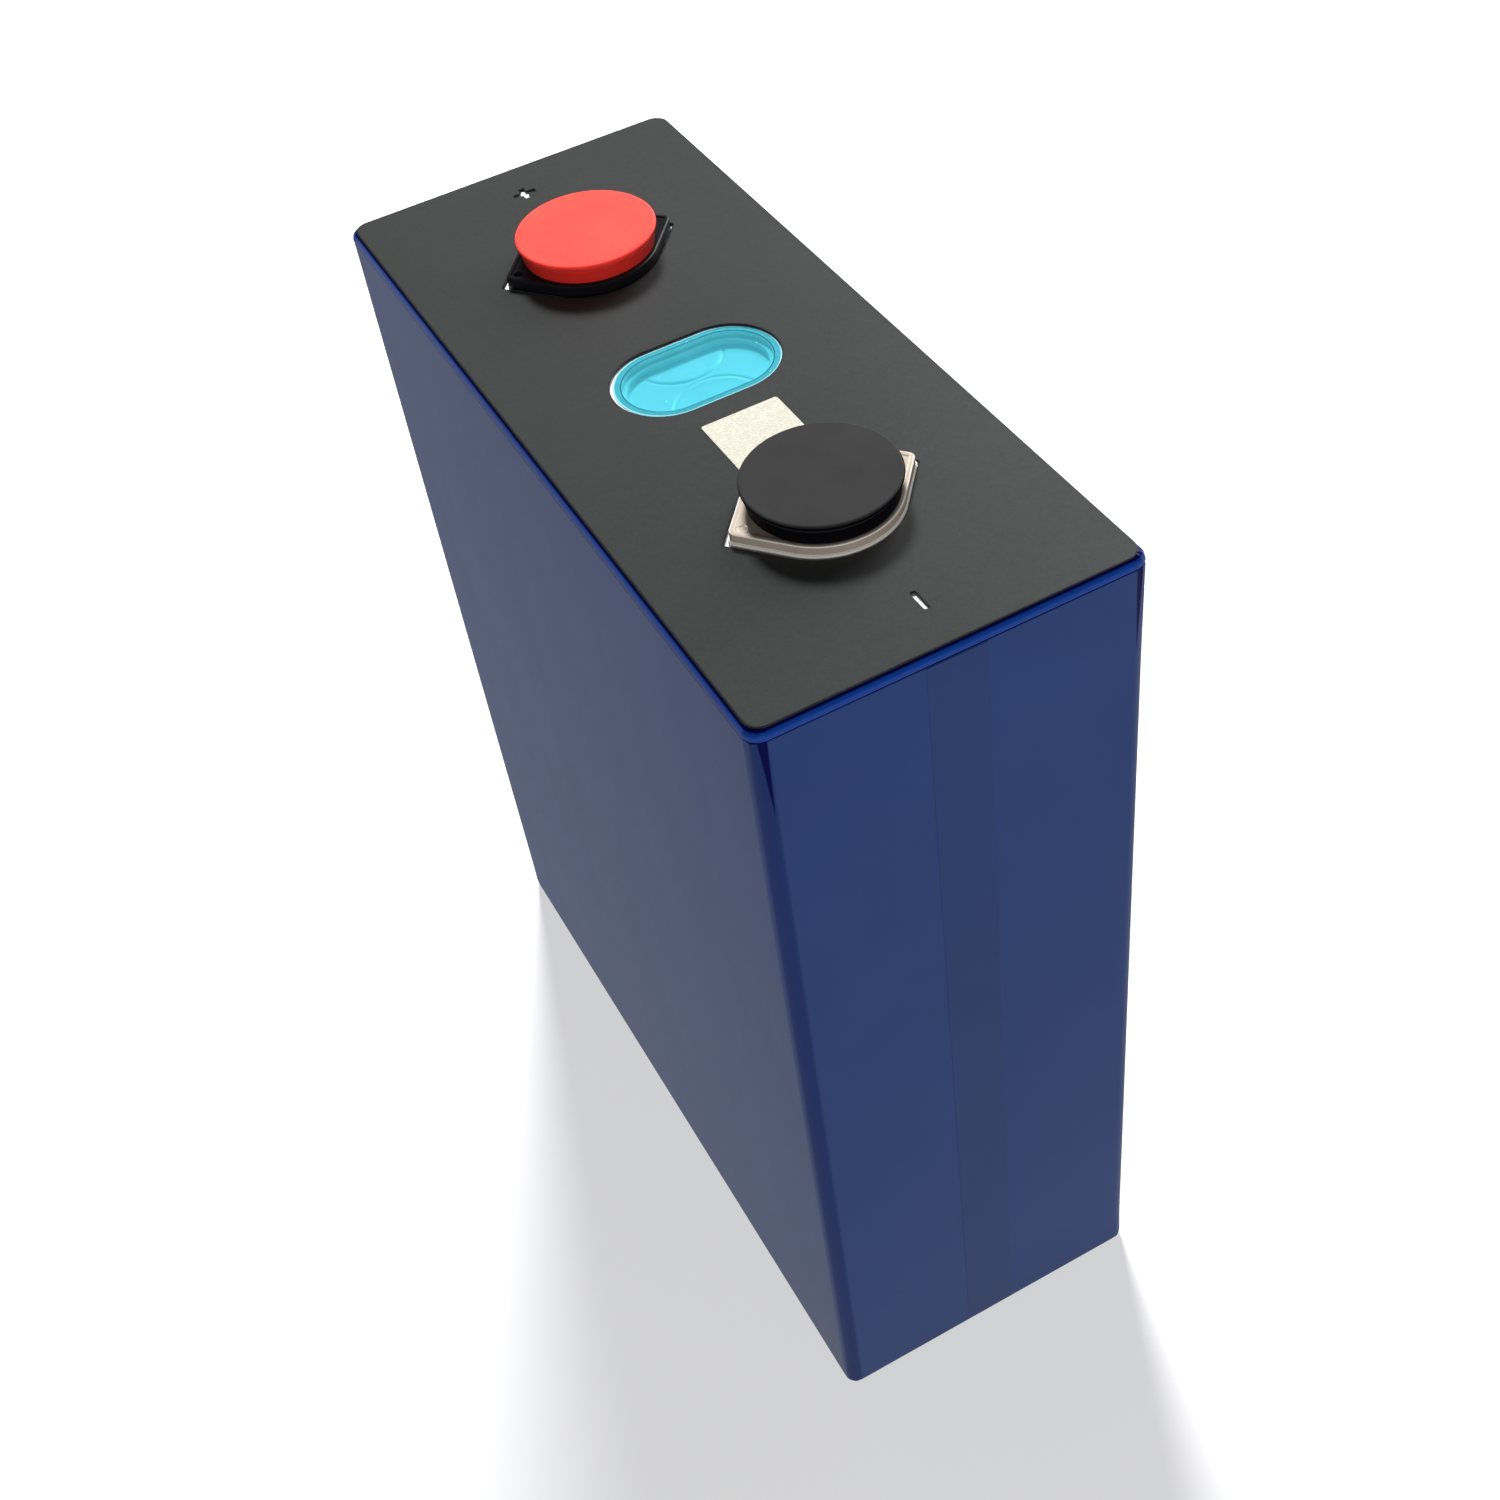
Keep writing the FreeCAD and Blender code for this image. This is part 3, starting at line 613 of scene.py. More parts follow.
FILM = film_material("blue_sleeve_film", (0.010, 0.036, 0.150), (0.012, 0.042, 0.168))
FILM_LAP = film_material("blue_sleeve_lap", (0.010, 0.033, 0.130), (0.012, 0.039, 0.147))
# A brighter copy of the film for the rim band: painted light where the rounded rim catches light.
FILM_RIM_LIT = film_material("blue_sleeve_rim_painted_light", (0.0005, 0.036, 0.25), (0.0005, 0.044, 0.29))
BOTTOM_FILM = film_material("blue_underside_sheet", (0.01, 0.045, 0.20), (0.014, 0.055, 0.24))
SHEET = sheet_material()
# The cut edge is the sheet's own black, deepened further as painted shade under its overhang.
SHEET_EDGE = cut_edge_material("black_sheet_edge", (0.004, 0.004, 0.006), (0.012, 0.012, 0.014))
BLUE_EDGE = cut_edge_material("blue_sheet_edge", (0.01, 0.03, 0.12), (0.02, 0.05, 0.18))
ALUMINIUM = metal_material(
    "rolled_aluminium", (0.84, 0.84, 0.83), (0.90, 0.90, 0.89),
    rough_low=0.4, rough_high=0.5, metallic=0.45,
)
DISC_METAL = metal_material(
    "burst_disc_foil", (0.86, 0.87, 0.87), (0.95, 0.95, 0.95),
    rough_low=0.42, rough_high=0.52, stretch=(1, 0.3, 1), depth=0.004, metallic=0.45,
)
COPPER = metal_material(
    "rolled_copper", (0.80, 0.42, 0.28), (0.88, 0.50, 0.35), rough_low=0.28, rough_high=0.42,
)
POSITIVE_TURNED = turned_metal_material("turned_aluminium_positive", (0.33, 0.33, 0.34), POLE_X)
NEGATIVE_TURNED = turned_metal_material("turned_aluminium_negative", (0.33, 0.33, 0.34), -POLE_X)
NEGATIVE_PLATED = turned_metal_material("plated_copper_turned", (0.32, 0.30, 0.265), -POLE_X)
BLACK_MOULDING = moulded_material(
    "black_base_moulding", (0.003, 0.003, 0.004), (0.006, 0.006, 0.007),
    rough=0.4, grain_scale=2600, depth=0.01, specular=0.25,
)
# The beige base's rim colour is a painted highlight along its rounded edges.
BEIGE_MOULDING = moulded_material(
    "beige_base_moulding", (0.34, 0.285, 0.23), (0.39, 0.335, 0.272),
    rough=0.45, grain_scale=2200, depth=0.01, specular=0.3,
    scatter=0.12, scatter_colour=(1.0, 0.7, 0.4), rim=(0.88, 0.82, 0.75),
)
# A much paler copy of the beige moulding for the foot's flange: a painted highlight along the
# base's foot.
BEIGE_FLANGE_LIT = moulded_material(
    "beige_base_flange_painted_light", (0.72, 0.68, 0.62), (0.78, 0.74, 0.68),
    rough=0.4, grain_scale=2200, depth=0.01, specular=0.4,
    scatter=0.2, scatter_colour=(1.0, 0.8, 0.6),
)
GREY_MOULDING = moulded_material(
    "grey_inner_moulding", (0.30, 0.31, 0.32), (0.38, 0.39, 0.40),
    rough=0.5, grain_scale=1800, depth=0.02, specular=0.4,
)
RUBBER = moulded_material(
    "seal_rubber_matt", (0.02, 0.02, 0.022), (0.035, 0.035, 0.037),
    rough=0.7, grain_scale=1500, depth=0.03, specular=0.3,
)
# The red cap's side colour is painted shade, deeper than its lit top.
RED_PLASTIC = moulded_material(
    "red_cap_plastic", (0.84, 0.056, 0.044), (0.90, 0.067, 0.053),
    rough=0.55, grain_scale=1900, depth=0.01, specular=0.2,
    scatter=0.55, scatter_colour=(1.0, 0.15, 0.08), side=(0.66, 0.026, 0.019), disc_edge_share=0.1,
)
# The black cap's side colour is painted shade, near black below its top.
BLACK_PLASTIC = moulded_material(
    "black_cap_plastic", (0.0245, 0.0245, 0.0245), (0.029, 0.029, 0.029),
    rough=0.66, grain_scale=1900, depth=0.006, specular=0.06, side=(0.002, 0.002, 0.003),
)
CYAN_FILM = cyan_film_material("cyan_cover_film", (0.07, 0.50, 0.60), 0.15)
CYAN_BORDER = cyan_film_material("cyan_film_border", (0.05, 0.34, 0.41), 0.3)
# The fold's dark teal is painted shade in the crease where the film bends into the recess.
CYAN_FOLD = cyan_film_material("cyan_film_fold", (0.002, 0.06, 0.09), 0.65)
# The cut edge's pale cyan is a painted highlight along the film's outline.
CYAN_EDGE = cyan_film_material("cyan_film_cut_edge", (0.36, 0.66, 0.70), 0.6)
LABEL = label_material()
WINDING = winding_material()
TAPE = tape_material()
BAG = bag_material()

NODE_MATERIALS = {
    "bare_aluminium": ALUMINIUM,
    "copper": COPPER,
    "plated_copper": NEGATIVE_PLATED,
    "grey_moulding": GREY_MOULDING,
    "black_moulding": BLACK_MOULDING,
    "beige_moulding": BEIGE_MOULDING,
    "seal_rubber": RUBBER,
    "winding": WINDING,
    "green_tape": TAPE,
    "clear_bag": BAG,
    "blue_film": FILM,
    "blue_sheet": BOTTOM_FILM,
    "black_sheet": SHEET,
    "label_paper": LABEL,
    "cyan_film": CYAN_FILM,
    "red_plastic": RED_PLASTIC,
    "black_plastic": BLACK_PLASTIC,
}
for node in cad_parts.values():
    for material_slot in node.material_slots:
        material_slot.material = NODE_MATERIALS[material_slot.material.name]


# ---- blue film sleeve --------
def ring_stations():
    """Stations round the sleeve: side straights and corner arcs, anticlockwise from +X.
    Each is (corner centre or side point at no inset, outward direction, corner angle or None)."""
    straight_x = HALF_LENGTH - FILM_CORNER_R
    straight_y = HALF_THICKNESS - FILM_CORNER_R
    lap = [-SEAM_HALF - 0.12, -SEAM_HALF, SEAM_HALF, SEAM_HALF + 0.12]
    across = np.unique(np.concatenate([np.linspace(-straight_y, straight_y, 27), lap]))
    along = np.linspace(-straight_x, straight_x, 71)
    stations = []
    sides = (
        [((HALF_LENGTH, y), (1, 0)) for y in across],
        [((-x, HALF_THICKNESS), (0, 1)) for x in along],
        [((-HALF_LENGTH, -y), (-1, 0)) for y in across],
        [((x, -HALF_THICKNESS), (0, -1)) for x in along],
    )
    corners = ((1, 1), (-1, 1), (-1, -1), (1, -1))
    for side, (points, (sx, sy)) in enumerate(zip(sides, corners)):
        for point, outward in points:
            stations.append((point, outward, None))
        for angle in np.linspace(0, 90, 25)[1:-1]:
            a = math.radians(angle + 90 * side)
            centre = (sx * straight_x, sy * straight_y)
            stations.append((centre, (math.cos(a), math.sin(a)), angle))
    return stations


def sleeve_profile():
    """From the inner end of the top fold, over the rim and down, to the inner end of the bottom
    fold: (inset, z, outward share of the normal, upward share of the normal)."""
    rows = [(inset, FILM_TOP, 0, 1) for inset in np.linspace(FOLD_TOP, FILM_TOP_R + 0.3, 6)]
    for angle in np.linspace(90, 0, 11):
        c, s = math.cos(math.radians(angle)), math.sin(math.radians(angle))
        rows.append((FILM_TOP_R * (1 - c), FILM_TOP - FILM_TOP_R * (1 - s), c, s))
    rim_end = FILM_TOP - FILM_TOP_R
    heights = list(np.arange(rim_end - 0.1, rim_end - 2.2, -0.1))
    heights += list(np.arange(heights[-1] - 0.5, heights[-1] - 9, -0.6))
    low = FILM_BOTTOM + FILM_BOTTOM_R
    heights += list(np.linspace(heights[-1] - 2.5, low + 12, 62))
    heights += list(np.linspace(low + 11.2, low, 15))
    rows += [(0, z, 1, 0) for z in heights]
    for angle in np.linspace(0, -90, 9)[1:]:
        c, s = math.cos(math.radians(angle)), math.sin(math.radians(angle))
        rows.append((FILM_BOTTOM_R * (1 - c), FILM_BOTTOM + FILM_BOTTOM_R * (1 + s), c, s))
    fold = np.linspace(FILM_BOTTOM_R + 1, FOLD_BOTTOM, 8)
    rows += [(inset, FILM_BOTTOM, 0, -1) for inset in fold]
    return rows


def corner_relief(z, outward, angle, fine):
    """Creases of the film at a corner: gathers under the weld line, a ridge and a valley that run
    down from it, and a tongue at the bottom where the film is folded under."""
    gathers = 0.035 * float(smooth_step(z, WELD_Z - 5, WELD_Z - 0.3))
    relief = gathers * math.sin(math.radians(angle) * 14 + 2.5 * fine)
    # Zero beside an end face and 90 beside a large face.
    turn = math.degrees(math.acos(min(1.0, abs(outward[0]))))
    crease = float(smooth_step(z, WELD_Z - CREASE_LENGTH - 3, WELD_Z - 2)) * (z < WELD_Z - 0.1)
    ridge = 0.12 * math.exp(-(((turn - 46) / 11) ** 2))
    valley = 0.1 * math.exp(-(((turn - 18) / 10) ** 2))
    relief += crease * (ridge - valley)
    low = 1 - float(smooth_step(z, FILM_BOTTOM + 2, FILM_BOTTOM + 11))
    tongue = 1 - ((angle - 42) / 30) ** 2
    relief += 0.12 * low * float(smooth_step(tongue, 0, 0.35))
    return relief


def sleeve_relief(x, y, z, outward, angle):
    """How far the film stands proud of its nominal surface at a point, in millimetres. It dips
    into the weld line, is a little proud above it and swells slightly with the can's faces."""
    on_corner = angle is not None
    on_end = abs(outward[0]) > 0.5
    dip = 0.18 if on_end or on_corner else 0.09
    relief = -dip * math.exp(-(((z - WELD_Z) / 0.16) ** 2))
    relief += 0.10 * float(smooth_step(z, WELD_Z, WELD_Z + 0.45))
    swell = noise.noise(Vector((x * 0.018, y * 0.018, z * 0.012)) + Vector((3.1, 7.7, 1.3)))
    fine = noise.noise(Vector((x * 0.07, y * 0.07, z * 0.05)))
    relief += (0.012 * swell + 0.004 * fine) if on_end else 0.003 * swell
    if on_corner:
        relief += corner_relief(z, outward, angle, fine)
    return max(relief, -0.12)


def sleeve_point(point, outward, angle, inset):
    """Place of a station at an inset from the film's outside, before any relief."""
    if angle is None:
        shrink = max(0.0, inset - FILM_CORNER_R + 0.2)
        x = point[0] - outward[0] * inset
        y = point[1] - outward[1] * inset
        if outward[0]:
            y *= 1 - shrink / (HALF_THICKNESS - FILM_CORNER_R)
        else:
            x *= 1 - shrink / (HALF_LENGTH - FILM_CORNER_R)
        return x, y
    radius = max(FILM_CORNER_R - inset, 0.2)
    shift = FILM_CORNER_R - inset - radius
    x = point[0] + math.copysign(1, point[0]) * shift + outward[0] * radius
    y = point[1] + math.copysign(1, point[1]) * shift + outward[1] * radius
    return x, y


def make_sleeve():
    """Film sleeve with its two skins, and the overlap of its ends on the +X end face."""
    stations = ring_stations()
    rows = sleeve_profile()
    seam_top = WELD_Z - 0.25
    seam_bottom = FILM_BOTTOM + FILM_BOTTOM_R
    outer = np.zeros((len(rows), len(stations), 3))
    inner = np.zeros_like(outer)
    bands = np.full((len(rows), len(stations)), BODY_BAND)
    for i, (inset, z, out_share, up_share) in enumerate(rows):
        for j, (point, outward, angle) in enumerate(stations):
            x, y = sleeve_point(point, outward, angle, inset)
            relief = sleeve_relief(x, y, z, outward, angle) if out_share > 0 else 0.0
            in_seam = abs(y) <= SEAM_HALF + 0.01 and seam_bottom <= z <= seam_top
            if outward == (1, 0) and in_seam:
                relief += SEAM_STEP
                bands[i, j] = LAP_BAND
            # Above the weld line the film takes the rim band's brighter copy: painted light.
            elif WELD_Z < z and out_share > 0:
                bands[i, j] = LIT_RIM_BAND
            outer[i, j] = (
                x + outward[0] * out_share * relief,
                y + outward[1] * out_share * relief,
                z + up_share * max(relief, 0),
            )
            inner[i, j] = (
                x - outward[0] * out_share * FILM_T,
                y - outward[1] * out_share * FILM_T,
                z - up_share * FILM_T,
            )
    grid = np.concatenate([outer, inner[::-1]])
    columns = len(stations)
    materials = []
    for i in range(2 * len(rows)):
        for j in range(columns):
            right = (j + 1) % columns
            band = bands[i, j] if i < len(rows) - 1 else BODY_BAND
            whole = band and bands[i, right] == band and bands[i + 1, j] == band
            materials.append(band if whole or band == LIT_RIM_BAND else BODY_BAND)
    mesh = grid_mesh("sleeve", grid, close_rows=True, materials=materials)
    films = [FILM, FILM_LAP, FILM_RIM_LIT]
    place("blue_film_sleeve", mesh, films, "cell", "blue_film", "film_wrap", sharp=38)


# ---- sheets and label --------
def make_top_sheet():
    edge = soft_edge(SHEET_TOP, FILM_TOP + 0.01, 0.09)
    half_x, half_y = SHEET_HI.x, SHEET_HI.y
    mark_x = half_x - MARK_OFFSET
    loops = [(rectangle_loop(half_x, half_y, SHEET_CORNER_R), edge, False, False)]
    holes = [
        terminal_loop(POLE_X, BLACK_BASE_GAP, corner_r=0.4),
        terminal_loop(-POLE_X, BEIGE_BASE_GAP, corner_r=0.4),
        stadium_loop(*VENT_CUTOUT),
    ]
    holes = [[(x, y + CUTOUT_SHIFT) for x, y in hole] for hole in holes]
    fine = soft_edge(SHEET_TOP, FILM_TOP + 0.01, 0.05, 0.1)
    loops += [(hole, edge, True, False) for hole in holes]
    plus = plus_loop(-mark_x, PLUS_Y, *PLUS_HALF, PLUS_HALF_WIDTH)
    minus = rectangle_loop(*MINUS_HALF, 0.3, mark_x, MINUS_Y)
    loops += [(mark, fine, True, False) for mark in (plus, minus)]
    mesh = plate("top_sheet", loops)
    place("black_top_sheet", mesh, [SHEET, SHEET_EDGE], "cell", "black_sheet", "top_sheet")


def make_bottom_sheet():
    half_x, half_y = BOTTOM_HI.x, BOTTOM_HI.y
    edge = soft_edge(FILM_BOTTOM, BOTTOM_LO.z, 0.06)
    loops = [(rectangle_loop(half_x, half_y, FILM_CORNER_R), edge, False, False)]
    mesh = plate("bottom_sheet", loops)
    place("blue_bottom_sheet", mesh, [BOTTOM_FILM, BLUE_EDGE], "cell", "blue_sheet", "bottom_sheet")


def make_label():
    half = (LABEL_HI.x - LABEL_LO.x) / 2
    cx = (LABEL_HI.x + LABEL_LO.x) / 2
    outline = rectangle_loop(half, half, 0.5, cx)
    mesh = plate("label", [(outline, soft_edge(LABEL_HI.z, LABEL_LO.z, 0.03, 0.1), False, False)])
    place("paper_label", mesh, [LABEL, LABEL], "cell", "label_paper", "code_label")


# ---- vent --------
def stadium_rings(half_x, half_y, insets, steps=60, straight_steps=40):
    """Nested stadium outlines from an edge inwards, with matching points."""
    straight = half_y - half_x
    rings = []
    for inset in insets:
        radius = max(half_x - inset, 0.0)
        points = [(radius, y) for y in np.linspace(-straight, straight, straight_steps)[:-1]]
        points += arc(0, straight, radius, 0, 180, steps)[:-1]
        points += [(-radius, y) for y in np.linspace(straight, -straight, straight_steps)[:-1]]
        points += arc(0, -straight, radius, 180, 360, steps)[:-1]
        rings.append(points)
    return np.array(rings)


def vent_band(inset):
    """Part of the cover film at an inset from its edge."""
    if inset < 0.2:
        return VENT_EDGE
    if inset < 1.3:
        return VENT_BORDER
    if inset < 1.45:
        return VENT_FOLD
    return VENT_BODY


def make_vent_film():
    """Cover film: flat on the lid round the recess and drawn down a little inside it."""
    half_x, half_y = VENT_HI.x + VENT_MARGIN[0], VENT_HI.y + VENT_MARGIN[1]
    insets = np.concatenate([np.linspace(0, 2.4, 17), np.linspace(2.9, half_x, 12)])
    band_of_row = [vent_band(inset) for inset in insets]
    rings = stadium_rings(half_x, half_y, insets)
    lip = 0.05 * np.exp(-(((insets - 1.0) / 0.5) ** 2))
    sag = -0.16 * smooth_step(insets, 1.3, 4.0)
    top = VENT_HI.z + lip + sag
    top[0] -= 0.05
    rows = []
    for ring, height in zip(rings, top):
        pucker = np.array([noise.noise(Vector((x * 0.3, y * 0.3, 2.2))) for x, y in ring]) * 0.02
        fade = 1.0 if height < VENT_HI.z - 0.02 else 0.0
        rows.append(np.column_stack([ring, height + pucker * fade]))
    upper = np.array(rows)
    lower = upper.copy()
    lower[:, :, 2] -= VENT_FILM_T
    grid = np.concatenate([upper[::-1], lower])
    bands = band_of_row[-2::-1] + [VENT_EDGE] + band_of_row[:-1]
    mesh = grid_mesh("vent_film", grid, materials=np.repeat(bands, grid.shape[1]))
    layers = [CYAN_FILM, CYAN_BORDER, CYAN_FOLD, CYAN_EDGE]
    place("cyan_vent_film", mesh, layers, "cell", "cyan_film", "vent_film", sharp=50)


def make_burst_disc():
    """Thin disc pressed into shallow panels, with two score arcs back to back at its middle."""
    half_x, half_y = DISC_HI.x - 0.02, DISC_HI.y - 0.02
    insets = np.linspace(0, half_x, 44)
    rings = stadium_rings(half_x, half_y, insets, steps=110, straight_steps=90)
    x, y = rings[:, :, 0], rings[:, :, 1]
    nearest = np.minimum(np.hypot(x - SCORE_OFFSET, y), np.hypot(x + SCORE_OFFSET, y))
    in_reach = np.abs(y) < SCORE_REACH
    groove = np.exp(-(((nearest - SCORE_R) / 0.3) ** 2)) * in_reach
    inside = smooth_step(insets, 0.4, 2.0)[:, None]
    shoulder = np.exp(-(((nearest - SCORE_R + 0.9) / 0.6) ** 2)) * in_reach
    dish = 0.25 * (1 - (np.abs(x) / half_x) ** 2) * (1 - (y / half_y) ** 2)
    height = DISC_HI.z - 0.3 + inside * (dish + 0.10 * shoulder - SCORE_DEPTH * groove)
    upper = np.dstack([x, y, height])
    lower = upper.copy()
    lower[:, :, 2] = DISC_LO.z + 0.02
    grid = np.concatenate([upper[::-1], lower])
    mesh = grid_mesh("burst_disc", grid)
    place("scored_burst_disc", mesh, [DISC_METAL], "cell", "bare_aluminium", "vent_disc", sharp=50)


# ---- terminals --------
def make_base(name, cx, material, slot, node, pit_depth, flange, flange_material):
    """Moulded base with a low lip round its top, a pocket for the cap's ring and a locating pit.
    Its foot runs out into a thin flange over the lid."""
    top, floor, bottom = BASE_HI.z, PAD_LO.z, BASE_LO.z + 0.01
    face = top - LIP_HEIGHT
    outer = [
        (LIP_WIDTH + 0.3, face, 0),
        (LIP_WIDTH + 0.15, face, 0.06),
        (LIP_WIDTH, top, 0.08),
        (0, top, 0.35),
        (0, SHEET_TOP + 0.45, 0.1),
        (-flange, FLANGE_TOP, 0.08),
        (-flange, bottom, 0),
        (0.4, bottom, 0),
    ]
    bore = POLE_R + 0.1 - POCKET_R
    pocket = [
        (0.5, face, 0),
        (0, face, 0.15),
        (0, floor, 0.1),
        (bore, floor, 0),
        (bore, bottom, 0),
    ]
    pit = [
        (0.2, face, 0),
        (0, face, 0.12),
        (-0.15, face - pit_depth, 0.1),
        (-0.5, face - pit_depth, 0),
    ]
    loops = [
        (terminal_loop(cx), rounded_path(outer, closed=False, steps=4), False, False),
        (circle_loop(POCKET_R, cx), rounded_path(pocket, closed=False, steps=4), True, False),
        (circle_loop(PIT_R, cx, PIT_Y, 32), rounded_path(pit, closed=False, steps=3), True, True),
    ]
    mesh = plate(node, loops)
    # The outer faces of the foot take the flange material; on the beige base this is a painted
    # highlight.
    for part in mesh.polygons:
        outside = math.hypot(part.center.x - cx * MM, part.center.y) > (BASE_R - 0.2) * MM
        low = part.material_index == 1 and part.center.z < (FLANGE_TOP + 0.06) * MM
        if low and outside and part.normal.z > -0.5:
            part.material_index = 2
    place(name, mesh, [material, material, flange_material], "cell", slot, node)


def make_pad(name, cx, material, node):
    """Round pad with a turned face, chamfered rim and the groove of its weld."""
    low, high = PAD_LO.z, PAD_HI.z
    bore = POLE_R + 0.02
    corners = [
        (bore, low, 0.05),
        (PAD_R, low, 0.2),
        (PAD_R, high - 0.3, 0.08),
        (PAD_R - 0.3, high, 0.08),
        (7.1, high, 0.06),
        (6.95, high - 0.2, 0.04),
        (bore, high - 0.2, 0.03),
    ]
    profile = rounded_path(corners, steps=3)
    mesh = grid_mesh(node, revolve(profile, cx), close_rows=True)
    place(name, mesh, [material], "cell", "bare_aluminium", node)


def make_pole(name, cx, material, slot, node):
    """Rivet with a threaded hole in its top and the rippled weld bead that joins it to the pad."""
    top, flange_bottom = POLE_HI.z, POLE_LO.z
    flange_top = flange_bottom + 1.5
    steps = 192
    hole_bottom = top - TAP_DEPTH
    thread_z = np.linspace(top - 0.55, hole_bottom + 0.3, 96)
    inside = [(0, hole_bottom), (TAP_R - 0.2, hole_bottom)]
    inside += [(TAP_R, z) for z in thread_z[::-1]]
    inside += [(3.05, top), (3.3, top)]
    bead = [(5.2, top), (5.35, top - 0.02)]
    for radius in np.linspace(BEAD_IN_R, BEAD_OUT_R, 9):
        bead.append((radius, top - 0.12 + 0.1 * math.cos((radius - 6.2) * math.pi / 1.6)))
    outside = [
        (6.93, top - 0.19),
        (POLE_R, top - 0.19),
        (POLE_R, flange_top),
        (POLE_FLANGE_R, flange_top),
        (POLE_FLANGE_R, flange_bottom),
        (0, flange_bottom),
    ]
    profile = inside + bead + outside
    grid = revolve(profile, cx, steps)
    angles = np.linspace(0, 2 * math.pi, steps, endpoint=False)
    for row, (radius, z) in enumerate(profile):
        cut = 0.0
        if 2 <= row < 2 + len(thread_z):
            phase = (z / THREAD_PITCH - angles / (2 * math.pi)) % 1.0
            fade = float(smooth_step(z, hole_bottom + 0.3, hole_bottom + 1.3))
            cut = 0.5 * fade * np.clip(1.25 - np.abs(phase - 0.5) * 3.2, 0, 1)
        elif BEAD_IN_R <= radius <= BEAD_OUT_R and z > top - 0.18:
            grid[row, :, 2] += 0.03 * np.sin(angles * 46 + 2.0 * radius)
        grid[row, :, 0] = cx + (radius + cut) * np.cos(angles)
        grid[row, :, 1] = (radius + cut) * np.sin(angles)
    mesh = grid_mesh(node, grid)
    place(name, mesh, [material], "cell", slot, node, sharp=40)


# ---- caps --------
def make_cap(name, cx, material, body, slot, node):
    """Push-on cap: soft-edged disc over a tapered body, with the ring that grips the pad."""
    top, bottom = CAP_HI.z, CAP_LO.z + CAP_RING_REACH
    disc_z = top - CAP_DISC_T
    corners = [
        (0, top, 0),
        (9.0, top, 4.0),
        (CAP_R, top - 0.04, 0.5),
        (CAP_R - 0.04, disc_z, 0.3),
        (CAP_GROOVE_R, disc_z - 0.04, 0.1),
        (CAP_GROOVE_R, disc_z - 0.5, 0.1),
        (CAP_BODY_R, disc_z - 0.58, 0.12),
        (12.9, bottom, 0.22),
        (11.1, bottom, 0.1),
        (11.05, CAP_LO.z, 0.25),
        (CAP_BORE_R + 0.02, CAP_LO.z, 0.2),
        (CAP_BORE_R, top - CAP_ROOF_T, 0.4),
        (0, top - CAP_ROOF_T, 0),
    ]
    profile = rounded_path(corners, closed=False, steps=6, support=0.12)
    grid = revolve(profile, cx)
    mesh = grid_mesh(node, grid)
    place(name, mesh, [material], body, slot, node, sharp=45)


# ---- the pieces --------
make_sleeve()
make_top_sheet()
make_bottom_sheet()
make_label()
make_vent_film()
make_burst_disc()
make_base(
    "black_terminal_base", POLE_X, BLACK_MOULDING, "black_moulding", "positive_base",
    pit_depth=0.6, flange=0.02, flange_material=BLACK_MOULDING,
)
make_base(
    "beige_terminal_base", -POLE_X, BEIGE_MOULDING, "beige_moulding", "negative_base",
    pit_depth=0.15, flange=0.28, flange_material=BEIGE_FLANGE_LIT,
)
make_pad("turned_pad_positive", POLE_X, POSITIVE_TURNED, "positive_pad")
make_pad("turned_pad_negative", -POLE_X, NEGATIVE_TURNED, "negative_pad")
make_pole("threaded_pole_positive", POLE_X, POSITIVE_TURNED, "bare_aluminium", "positive_pole")
make_pole("threaded_pole_negative", -POLE_X, NEGATIVE_PLATED, "plated_copper", "negative_pole")
make_cap("red_push_cap", POLE_X, RED_PLASTIC, "red_cap", "red_plastic", "red_cap")
make_cap("black_push_cap", -POLE_X, BLACK_PLASTIC, "black_cap", "black_plastic", "black_cap")


# ---- floor, light and camera (metres) --------
HORIZON_TONE = (0.66, 0.69, 0.76)  # seen only in glossy surfaces
FLOOR_FADE = (0.55, 1.3)
CAMERA_PLACE = (0.2801, -0.1122, 0.4152)
CAMERA_TARGET = (-0.0025, -0.0006, 0.1041)
CAMERA_ROLL = -9.07
CAMERA_LENS = 48.5


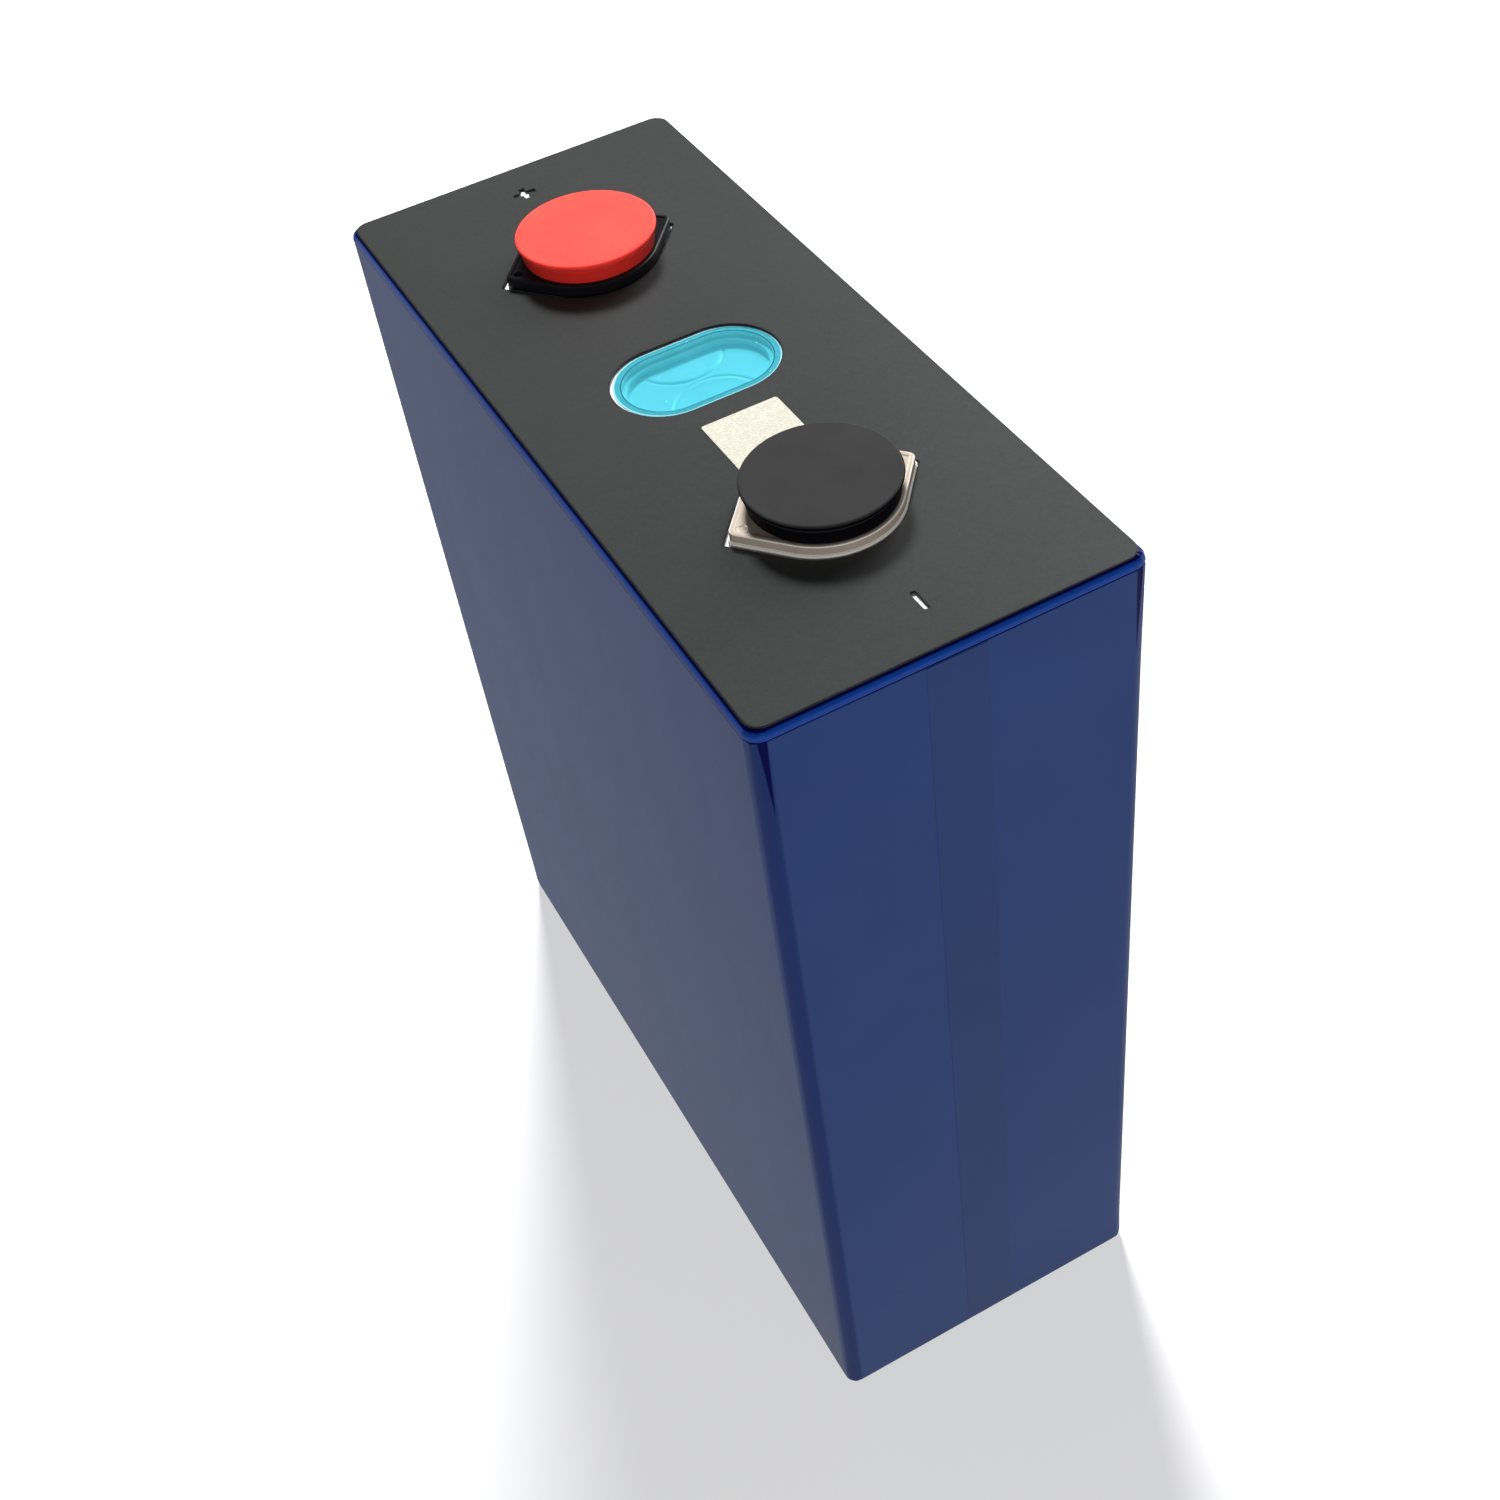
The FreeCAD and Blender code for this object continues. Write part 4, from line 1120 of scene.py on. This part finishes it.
def make_floor():
    """Round pale floor that fades into the backdrop colour far from the object. Glossy surfaces
    see it as a glowing card, a painted reflection: dim beside the object as a painted shadow in
    the reflection, and brighter away from it."""
    mesh = bpy.data.meshes.new("studio_floor")
    work = bmesh.new()
    bmesh.ops.create_circle(work, cap_ends=True, segments=96, radius=3.0)
    work.to_mesh(mesh)
    work.free()
    floor = bpy.data.objects.new("studio_floor", mesh)
    bpy.context.scene.collection.objects.link(floor)
    s = Shader("pale_floor")
    split = s.node("ShaderNodeSeparateXYZ", Vector=s.place)
    x, y = split.outputs[0], split.outputs[1]
    path = s.node("ShaderNodeLightPath")
    seen = path.outputs["Is Camera Ray"]
    tone = s.blend(seen, (0.45, 0.455, 0.47), (0.88, 0.88, 0.885))
    matt = s.node("ShaderNodeBsdfDiffuse", Color=tone)
    # Painted reflection: glossy rays see a glowing card, dim near the object and nearer the horizon
    # tone further out.
    card_tone = s.blend(s.ramp(x, 0.05, 0.1), (0.31, 0.345, 0.43), (0.36, 0.37, 0.40))
    past_side = s.math("SUBTRACT", s.math("ABSOLUTE", y), 0.18)
    past_end = s.math("MAXIMUM", s.math("SUBTRACT", x, 0.28), s.math("SUBTRACT", -0.45, x))
    reach = s.math("MAXIMUM", past_side, past_end)
    card_tone = s.blend(s.ramp(reach, 0, 0.35), card_tone, HORIZON_TONE)
    card = s.node("ShaderNodeEmission", Color=card_tone)
    lift = s.node("ShaderNodeEmission", Color=(0.93, 0.93, 0.935))
    clear = s.node("ShaderNodeBsdfTransparent")
    near = s.mix(path.outputs["Is Glossy Ray"], matt, card)
    lifted = s.mix(s.math("MULTIPLY", seen, 0.6), near, lift)
    s.show(s.mix(s.ramp(s.length(x, y), *FLOOR_FADE), lifted, clear))
    mesh.materials.append(s.block)


def make_world():
    """Dim soft sky, brighter overhead, with a pale band low on the horizon for glossy surfaces.
    The camera sees a plain pale backdrop."""
    s = Shader("studio_sky", world=True)
    bpy.context.scene.world = s.block
    up = s.node("ShaderNodeSeparateXYZ", Vector=s.place).outputs[2]
    sky = s.blend(s.ramp(up, 0.02, 0.75), (0.07, 0.072, 0.08), (0.13, 0.132, 0.14))
    path = s.node("ShaderNodeLightPath")
    band = s.math("MULTIPLY", s.ramp(up, 0.0, 0.22, 1, 0), path.outputs["Is Glossy Ray"])
    sky = s.blend(band, sky, HORIZON_TONE)
    backdrop = s.blend(path.outputs["Is Camera Ray"], sky, (0.97, 0.97, 0.975))
    s.show(s.node("ShaderNodeBackground", Color=backdrop))


def make_area_light(name, place_at, aim_at, size, power):
    """White disc light at a place, turned towards another."""
    light = bpy.data.lights.new(name, "AREA")
    light.shape = "DISK"
    light.size = size
    light.energy = power
    lamp = bpy.data.objects.new(name, light)
    bpy.context.scene.collection.objects.link(lamp)
    lamp.location = place_at
    lamp.rotation_mode = "QUATERNION"
    lamp.rotation_quaternion = (Vector(aim_at) - Vector(place_at)).to_track_quat("-Z", "Y")
    return lamp


def make_camera():
    """Camera above the near upright edge, at its viewing angle and rolled a little."""
    data = bpy.data.cameras.new("studio_camera")
    data.sensor_width = 36.0
    data.lens = CAMERA_LENS
    data.clip_start = 0.01
    data.clip_end = 20.0
    camera = bpy.data.objects.new("studio_camera", data)
    bpy.context.scene.collection.objects.link(camera)
    camera.location = CAMERA_PLACE
    aim = (Vector(CAMERA_TARGET) - camera.location).to_track_quat("-Z", "Y")
    roll = Matrix.Rotation(math.radians(CAMERA_ROLL), 3, "Z").to_quaternion()
    camera.rotation_mode = "QUATERNION"
    camera.rotation_quaternion = aim @ roll
    bpy.context.scene.camera = camera


make_floor()
make_world()
key_light = make_area_light(
    "key_light", place_at=(-0.82, 0.32, 0.95), aim_at=(0, 0, 0.15), size=0.28, power=43
)
key_light.visible_glossy = False
end_fill = make_area_light(
    "end_fill", place_at=(1.25, -0.35, 0.34), aim_at=(0, 0, 0.12), size=0.7, power=10.5
)
end_fill.visible_glossy = False
side_glint = make_area_light(
    "side_glint", place_at=(-0.42, 0.75, 0.6), aim_at=(0, 0, 0.2), size=0.65, power=7.5
)
side_glint.visible_diffuse = False
make_camera()
bpy.context.scene.view_settings.view_transform = "Standard"
